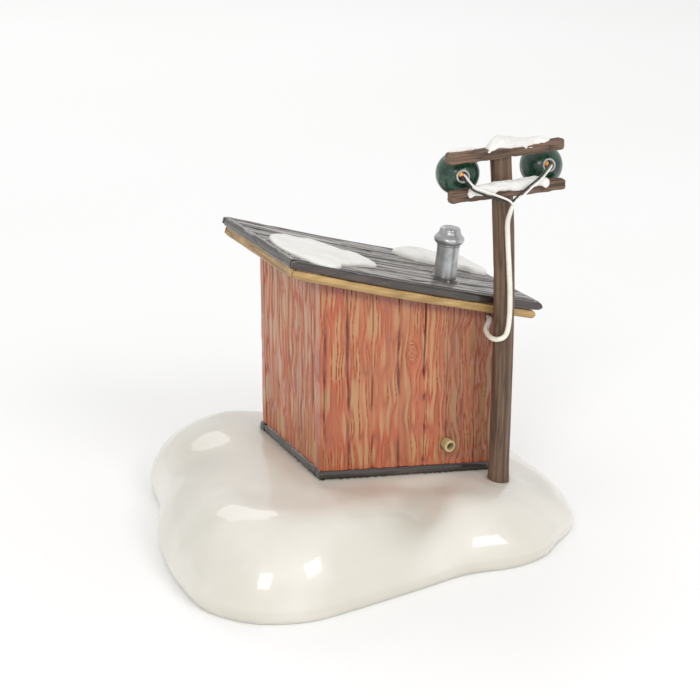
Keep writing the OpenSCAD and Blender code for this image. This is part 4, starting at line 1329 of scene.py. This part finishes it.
LAMP_R, SHADE_T, HOLE_R, LIP_H = 6.2, 0.8, 1.8, 1.2
LAMPS = {
    "left": (np.array([23.39, -23.5, 108.9]), math.radians(5.5), math.radians(-15)),
    "right": (np.array([50.7, -23.5, 108.3]), math.radians(13), math.radians(-10)),
}


def shine(tilt, turn):
    """The way a lamp points: level front, tilted down, then turned about the upright."""
    level = math.cos(tilt)
    return np.array([-math.sin(turn) * level, math.cos(turn) * level, -math.sin(tilt)])


# %% Spinning a closed profile
def arc(radius, start, end, count):
    """Points (radius, height) of a circle about the axis's origin, from one height to the
    other, evenly turned.
    """
    a, b = math.asin(start / radius), math.asin(end / radius)
    t = np.linspace(a, b, count)
    return np.stack([radius * np.cos(t), radius * np.sin(t)], 1)


def ring_part(profile, count, at, axis, dent=0.0):
    """A closed profile spun into a closed ring-shaped skin."""
    rings = turned(profile, count, at, axis, dent)
    n, m = rings.shape[:2]
    return rings.reshape(-1, 3), [grid_faces(n, m, around=True, along=True)]


for side, (at, tilt, turn) in LAMPS.items():
    axis = shine(tilt, turn)
    inner_r = LAMP_R - SHADE_T
    back_out = -math.sqrt(LAMP_R**2 - HOLE_R**2)
    back_in = -math.sqrt(inner_r**2 - HOLE_R**2)
    outer, inner = arc(LAMP_R, back_out, LIP_H, 64), arc(inner_r, LIP_H, back_in, 60)
    lip = np.array([[(outer[-1, 0] + inner[0, 0]) / 2, LIP_H + 0.30]])
    globe = ring_part(np.vstack([outer, lip, inner]), 120, at, axis)
    make_piece(f"{side}_lamp_shade", [globe], enamel, crease=50)
    bulb = smooth_line([[0.1, -LAMP_R + 1.25], [1.5, -LAMP_R + 1.25], [1.65, -LAMP_R + 1.5],
                        [1.65, -3.4], [1.75, -3.0], [2.3, -2.0], [2.4, -1.0], [2.1, 0.2],
                        [1.2, 1.1], [0.1, 1.4]], 8)  # fmt: skip
    skin = closed_skin(turned(bulb, 64, at, axis))
    bead_at = at - (LAMP_R - 0.6) * axis + [-0.5, 0, 0.5]
    bead = closed_skin(turned(arc(0.75, -0.74, 0.74, 12), 24, bead_at, axis))
    # The socket end is marked for painted shade; it is what shows through the dark hole behind the
    # globe.
    socket = ((skin[0] - at) @ axis < -3.0) * 1.0
    fields = {"socket": np.append(socket, np.zeros(len(bead[0])))}
    make_piece(f"{side}_lamp_bulb", [skin, bead], amber, fields, 50)
    flange = smooth_line([
        [1.45, 0.1], [1.6, 0], [1.78, 0.03], [1.92, 0.22], [1.88, 0.5], [1.72, 0.75], [1.65, 1.5],
        [1.35, 1.55], [1.32, 0.9],
    ], 6, closed=True) - [0, LAMP_R + 0.35]  # fmt: skip
    make_piece(f"{side}_lamp_grommet", [ring_part(flange, 72, at, axis)], rim_silver, crease=50)

# %% [markdown]
# ## Wires
# A white and a black wire come from each lamp, meet in front of the post and go on as
# one pale lead that runs down the post, turns up under the roof and enters the wall. A
# wire is a circle carried along a smooth line; its frame comes from one fixed direction
# that the line is never parallel to, so the tube doesn't twist or pinch.

# %% Wires and lead
JOINT = np.array([35.1, -34.3, 101.15])
WIRE_R, LEAD_R = 0.30, 0.74


def tube(points, radius, per_span, reference, count=20, ease=0.0):
    """Rings about a smooth line: side = reference x tangent, up = tangent x side.

    Both ends are rounded, and radius may change along the line.
    """
    line = smooth_line(points, per_span)
    tangent = np.gradient(line, axis=0)
    tangent /= np.linalg.norm(tangent, axis=1)[:, None]
    side = np.cross(reference, tangent)
    side /= np.linalg.norm(side, axis=1)[:, None]
    up = np.cross(tangent, side)
    t = np.linspace(0, 2 * np.pi, count, endpoint=False)
    s = np.arange(len(line))
    from_end = np.clip(np.minimum(s + 1, s[::-1] + 1) / 4, 0, 1)
    round_off = np.sqrt(np.clip(1 - (1 - from_end) ** 2, 0.01, 1))
    r = np.broadcast_to(radius, len(line)) * round_off
    r = r * (1 - ease * np.exp(-s / (0.9 * per_span)))
    ring = np.cos(t)[None, :, None] * side[:, None] + np.sin(t)[None, :, None] * up[:, None]
    rings = line[:, None] + r[:, None, None] * ring
    length = np.linalg.norm(np.diff(line, axis=0), axis=1).sum()
    return closed_skin(rings), length


ROUTES = {
    "left": {
        "white": ([0.3, 0, 0.3], [[-0.354, -0.8, 6.8], [-0.27, -1.0, 5.15], [-0.154, -1.0, 3.4],
                                  [-0.065, -0.7, 1.9], [-0.02, -0.35, 0.8]]),
        "black": ([-0.3, 0, -0.3], [[-0.365, -0.7, 6.0], [-0.281, -0.9, 4.4], [-0.165, -0.6, 2.5],
                                    [-0.075, 0.15, 1.15], [-0.012, 0.45, 0.75]]),
    },
    "right": {
        "white": ([0.25, 0, -0.35], [[0.227, -0.8, 6.25], [0.138, -1.0, 4.25], [0.07, -0.7, 2.05],
                                     [0.02, -0.35, 0.8]]),
        "black": ([-0.25, 0, 0.35], [[0.2135, -0.8, 6.95], [0.123, -1.0, 4.9], [0.054, -0.25, 2.6],
                                     [0.011, 0.45, 0.75]]),
    },
}  # fmt: skip


def wire_path(side, colour):
    at, tilt, turn = LAMPS[side]
    back = -shine(tilt, turn)
    apart, route = ROUTES[side][colour]
    offsets = np.array(route) * [ARM_L, 1, 1]
    starts = [at + (LAMP_R - 0.4) * back + apart, at + (LAMP_R + 1.2) * back + apart]
    return np.vstack([starts, JOINT + offsets, [JOINT + [0, 0, -0.1]]])


white_sheath = plastic_finish("white_sheath", "#efece4", "#f6f4ee", "#c9c3b4", 0.3)
black_sheath = plastic_finish("black_sheath", "#1b1a1a", "#2b2928", "#3b3835", 0.3)
for colour, finish in (("white", white_sheath), ("black", black_sheath)):
    made = [tube(wire_path(side, colour), WIRE_R, 12, [0.2, 1.0, 0.1]) for side in LAMPS]
    make_piece(f"{colour}_lamp_wires", [part for part, _ in made], finish, crease=60,
               node="lamp_wires")  # fmt: skip
    print(colour, "wire lengths mm", [round(float(length), 1) for _, length in made])

# %% The lead down the post
HOLE_X, LEAD_Z = LEAD_HOLE[0]
LEAD_X, LEAD_Y = POST_X - 0.6, -32.7
LEAD_PATH = [
    JOINT + [0, 0, -0.3], JOINT + [-0.4, 0.4, -2.2], JOINT + [-0.7, 1.2, -5.4],
    [LEAD_X - 1.3, LEAD_Y, JOINT[2] - 11], [LEAD_X - 0.1, LEAD_Y, LEAD_Z + 12],
    [LEAD_X, LEAD_Y, LEAD_Z + 3], [LEAD_X - 1.0, LEAD_Y - 0.1, LEAD_Z - 1.5],
    [LEAD_X - 3.0, LEAD_Y + 0.9, LEAD_Z - 2.9], [LEAD_X - 3.9, -29.0, LEAD_Z - 3.0],
    [LEAD_X - 2.9, -24.8, LEAD_Z - 2.3], [LEAD_X - 1.2, -23.0, LEAD_Z - 0.8],
    [HOLE_X - 0.1, -21.4, LEAD_Z - 0.1], [HOLE_X, -19.0, LEAD_Z],
]  # fmt: skip
lead_sheath = plastic_finish("lead_sheath", "#e4e1d2", "#efece0", "#b5ae96", 0.32, 260)
part, length = tube(LEAD_PATH, LEAD_R, 16, [1.0, -1.0, 1.0], count=32, ease=0.45)
make_piece("down_lead", [part], lead_sheath, crease=60)
print("lead length mm", round(float(length), 1))

# %% [markdown]
# ## The bushing
# Low in the back wall a tan plastic bushing holds the way in for the mains lead. It is a
# ring: a bored barrel with a lip outside and a flange inside the wall.

# %% Bushing
bushing_plastic = plastic_finish("bushing", "#b3a171", "#c6b587", "#7a6b45", 0.35, 400)
BUSH_BORE, BUSH_R = 1.1, 1.8
bushing = smooth_line([
    [BUSH_BORE, -2.4], [BUSH_BORE + 0.15, -2.42], [BUSH_R - 0.15, -2.4], [BUSH_R, -2.2],
    [BUSH_R, -0.4], [BUSH_R + 0.05, -0.3], [BUSH_R, 0.0], [BUSH_R, 2.9], [2.85, 3.0], [2.9, 3.1],
    [2.9, 3.7], [2.8, 3.8], [BUSH_BORE + 0.1, 3.8], [BUSH_BORE, 3.7], [BUSH_BORE, 0.5],
], 4, closed=True)  # fmt: skip
bushing_part = ring_part(bushing, 64, [BUSH_X, HUT_Y0, BUSH_Z], LEVEL)
make_piece("inlet_bushing", [bushing_part], bushing_plastic, crease=45)

# %% [markdown]
# ## The front: door and window
# The front carries a plank door in a plain frame and a small window of four lights with
# an amber pane. They are carved and painted as the walls are, so the same grid and the
# same carving serve; only the openings and the paint differ.

# %% Plates ruled on a grid
NO_JOINT = -30.0  # a joint this far to the side cuts none of the plates
door_finish = board_finish("door_boards", "#8d6b4b", "#6b4a32", "#33221a", "#4d3627")


def plate(name, x_stops, z_stops, faces_at, finish, seed, joints=(NO_JOINT,), openings=(),
          foot=None, extra=(), cut=0.8):  # fmt: skip
    """A carved plate in the front. Grid lines pass through every stop.

    foot(x) gives a sloping lower edge, which levels out at the second stop. cut is the
    share of the walls' carving depth.
    """
    across = grid_lines(x_stops, 0.25)
    x, z = np.meshgrid(across, grid_lines(z_stops, 0.3))
    if foot is not None:
        low, level = z_stops[:2]
        share = np.clip((z - low) / (level - low), 0, 1)
        z = np.where(z < level, foot(across) + share * (level - foot(across)), z)
    depth, paint = board_carving(x, z, joints, seed)
    depth = cut * depth + corner_round(x, (x_stops[0], x_stops[-1]), 0.2)
    return carved_plate(name, finish, x, z, depth, paint, faces_at, openings, extra=extra)


def door_foot(x):
    """The door stands a little off the sill."""
    return sill_z(x) + DOOR_GAP


# %% Door, frames and pane
DOOR_T, DOOR_GAP, DOOR_H = 1.6, 0.15, 45.2
KNOB_Z = 66.76 - 0.56 * DOOR_H
FOOT_Z, LEVEL_Z, FRAME_W = 22.5, 26.5, 2
DOOR_Y, FRAME_Y = HUT_Y1 - 0.4, HUT_Y1 + 0.8
door_joints = [DOOR_X0 + k * (DOOR_X1 - DOOR_X0) / 4 for k in (1, 2, 3)]
knob = smooth_line([[0.05, -0.2], [0.45, -0.2], [0.4, 0.35], [0.65, 0.6], [0.7, 0.85],
                    [0.5, 1.12], [0.05, 1.19]], 5)  # fmt: skip
knob = closed_skin(turned(knob, 40, [DOOR_X0 + 2.4, DOOR_Y, KNOB_Z], LEVEL))
plate("door_leaf", [DOOR_X0 + DOOR_GAP, DOOR_X1 - DOOR_GAP], [FOOT_Z, LEVEL_Z, DOOR_TOP - DOOR_GAP],
      (DOOR_Y, DOOR_Y - DOOR_T), door_finish, 81, door_joints, foot=door_foot,
      extra=[knob], cut=1.0)  # fmt: skip
plate("door_frame", [DOOR_X0 - FRAME_W, DOOR_X0, DOOR_X1, DOOR_X1 + FRAME_W],
      [FOOT_Z, LEVEL_Z, DOOR_TOP, DOOR_TOP + FRAME_W], (FRAME_Y, HUT_Y1 - 0.1), tan_trim, 82,
      openings=[(DOOR_X0, DOOR_X1, 0, DOOR_TOP)], foot=sill_z)  # fmt: skip

wx0, wx1, wz0, wz1 = WINDOW
mid_x, mid_z, BAR = (wx0 + wx1) / 2, (wz0 + wz1) / 2, 0.5
lights = [(a, b, c, d) for a, b in ((wx0, mid_x - BAR), (mid_x + BAR, wx1))
          for c, d in ((wz0, mid_z - BAR), (mid_z + BAR, wz1))]  # fmt: skip
plate("window_frame", [wx0 - FRAME_W, wx0, mid_x - BAR, mid_x + BAR, wx1, wx1 + FRAME_W],
      [wz0 - FRAME_W, wz0, mid_z - BAR, mid_z + BAR, wz1, wz1 + FRAME_W],
      (FRAME_Y, HUT_Y1 - 0.05), tan_trim, 83, openings=lights)  # fmt: skip
# The pane glows a little: painted light, as no lamp stands inside the hut.
pane_amber = amber_finish("pane", "#c98a2c", "#e8b65a", 0.10)
plate("window_pane", [wx0 + 0.1, wx1 - 0.1], [wz0 + 0.1, wz1 - 0.1],
      (HUT_Y1 - 0.05, HUT_Y1 - 0.8), pane_amber, 84, cut=0.35)  # fmt: skip

# %% [markdown]
# ## Floor, light and sky
# A pale floor, an even white sky that gives most of the light, and three soft boxes. Two
# stand in front and above, where the glaze mirrors them as small window-shaped spots on
# the swells of the snow. The wide one behind lights the front and the far edges.

# %% Floor
def floor_finish():
    f = Finish("studio_floor")
    cloud = f.noise(3, 2)
    colour = f.mix(f.between(cloud, 0.2, 0.8), "#fcfcfb", "#fefefe")
    return f.done(colour, 0.9, None, Specular_IOR_Level=0.1)


FLOOR_SIZE = 4.0
mesh = bpy.data.meshes.new("floor")
half = FLOOR_SIZE / 2
corners = [(-half, -half, 0), (half, -half, 0), (half, half, 0), (-half, half, 0)]
mesh.from_pydata(corners, [], [(0, 1, 2, 3)])
mesh.materials.append(floor_finish())
floor = bpy.data.objects.new("floor", mesh)
bpy.context.scene.collection.objects.link(floor)
print("floor", FLOOR_SIZE, "m")

# %% Lights
SUBJECT = Vector((0.0, -0.01, 0.045))


def soft_box(name, place, width, height, watts):
    """A rectangular lamp at place that faces the object."""
    lamp = bpy.data.lights.new(name, "AREA")
    lamp.shape, lamp.size, lamp.size_y, lamp.energy = "RECTANGLE", width, height, watts
    box = bpy.data.objects.new(name, lamp)
    box.location = place
    box.rotation_euler = (SUBJECT - Vector(place)).to_track_quat("-Z", "Y").to_euler()
    bpy.context.scene.collection.objects.link(box)
    print(name, place, watts, "W")


soft_box("left_soft_box", (-0.66, -0.80, 0.66), 0.28, 0.36, 2.6)
soft_box("right_soft_box", (0.20, -0.92, 0.72), 0.36, 0.32, 2.7)
soft_box("back_soft_box", (0.1, 1.1, 0.9), 0.9, 0.5, 2.4)

world = bpy.data.worlds.new("sky")
world.use_nodes = True
sky = world.node_tree.nodes["Background"]
sky.inputs["Color"].default_value = (1.0, 1.0, 1.0, 1.0)
sky.inputs["Strength"].default_value = 0.77
bpy.context.scene.world = world
bpy.context.scene.view_settings.view_transform = "Standard"

# %% Sizes and the closing line
print("pieces", len(pieces_made), "faces", sum(pieces_made.values()))
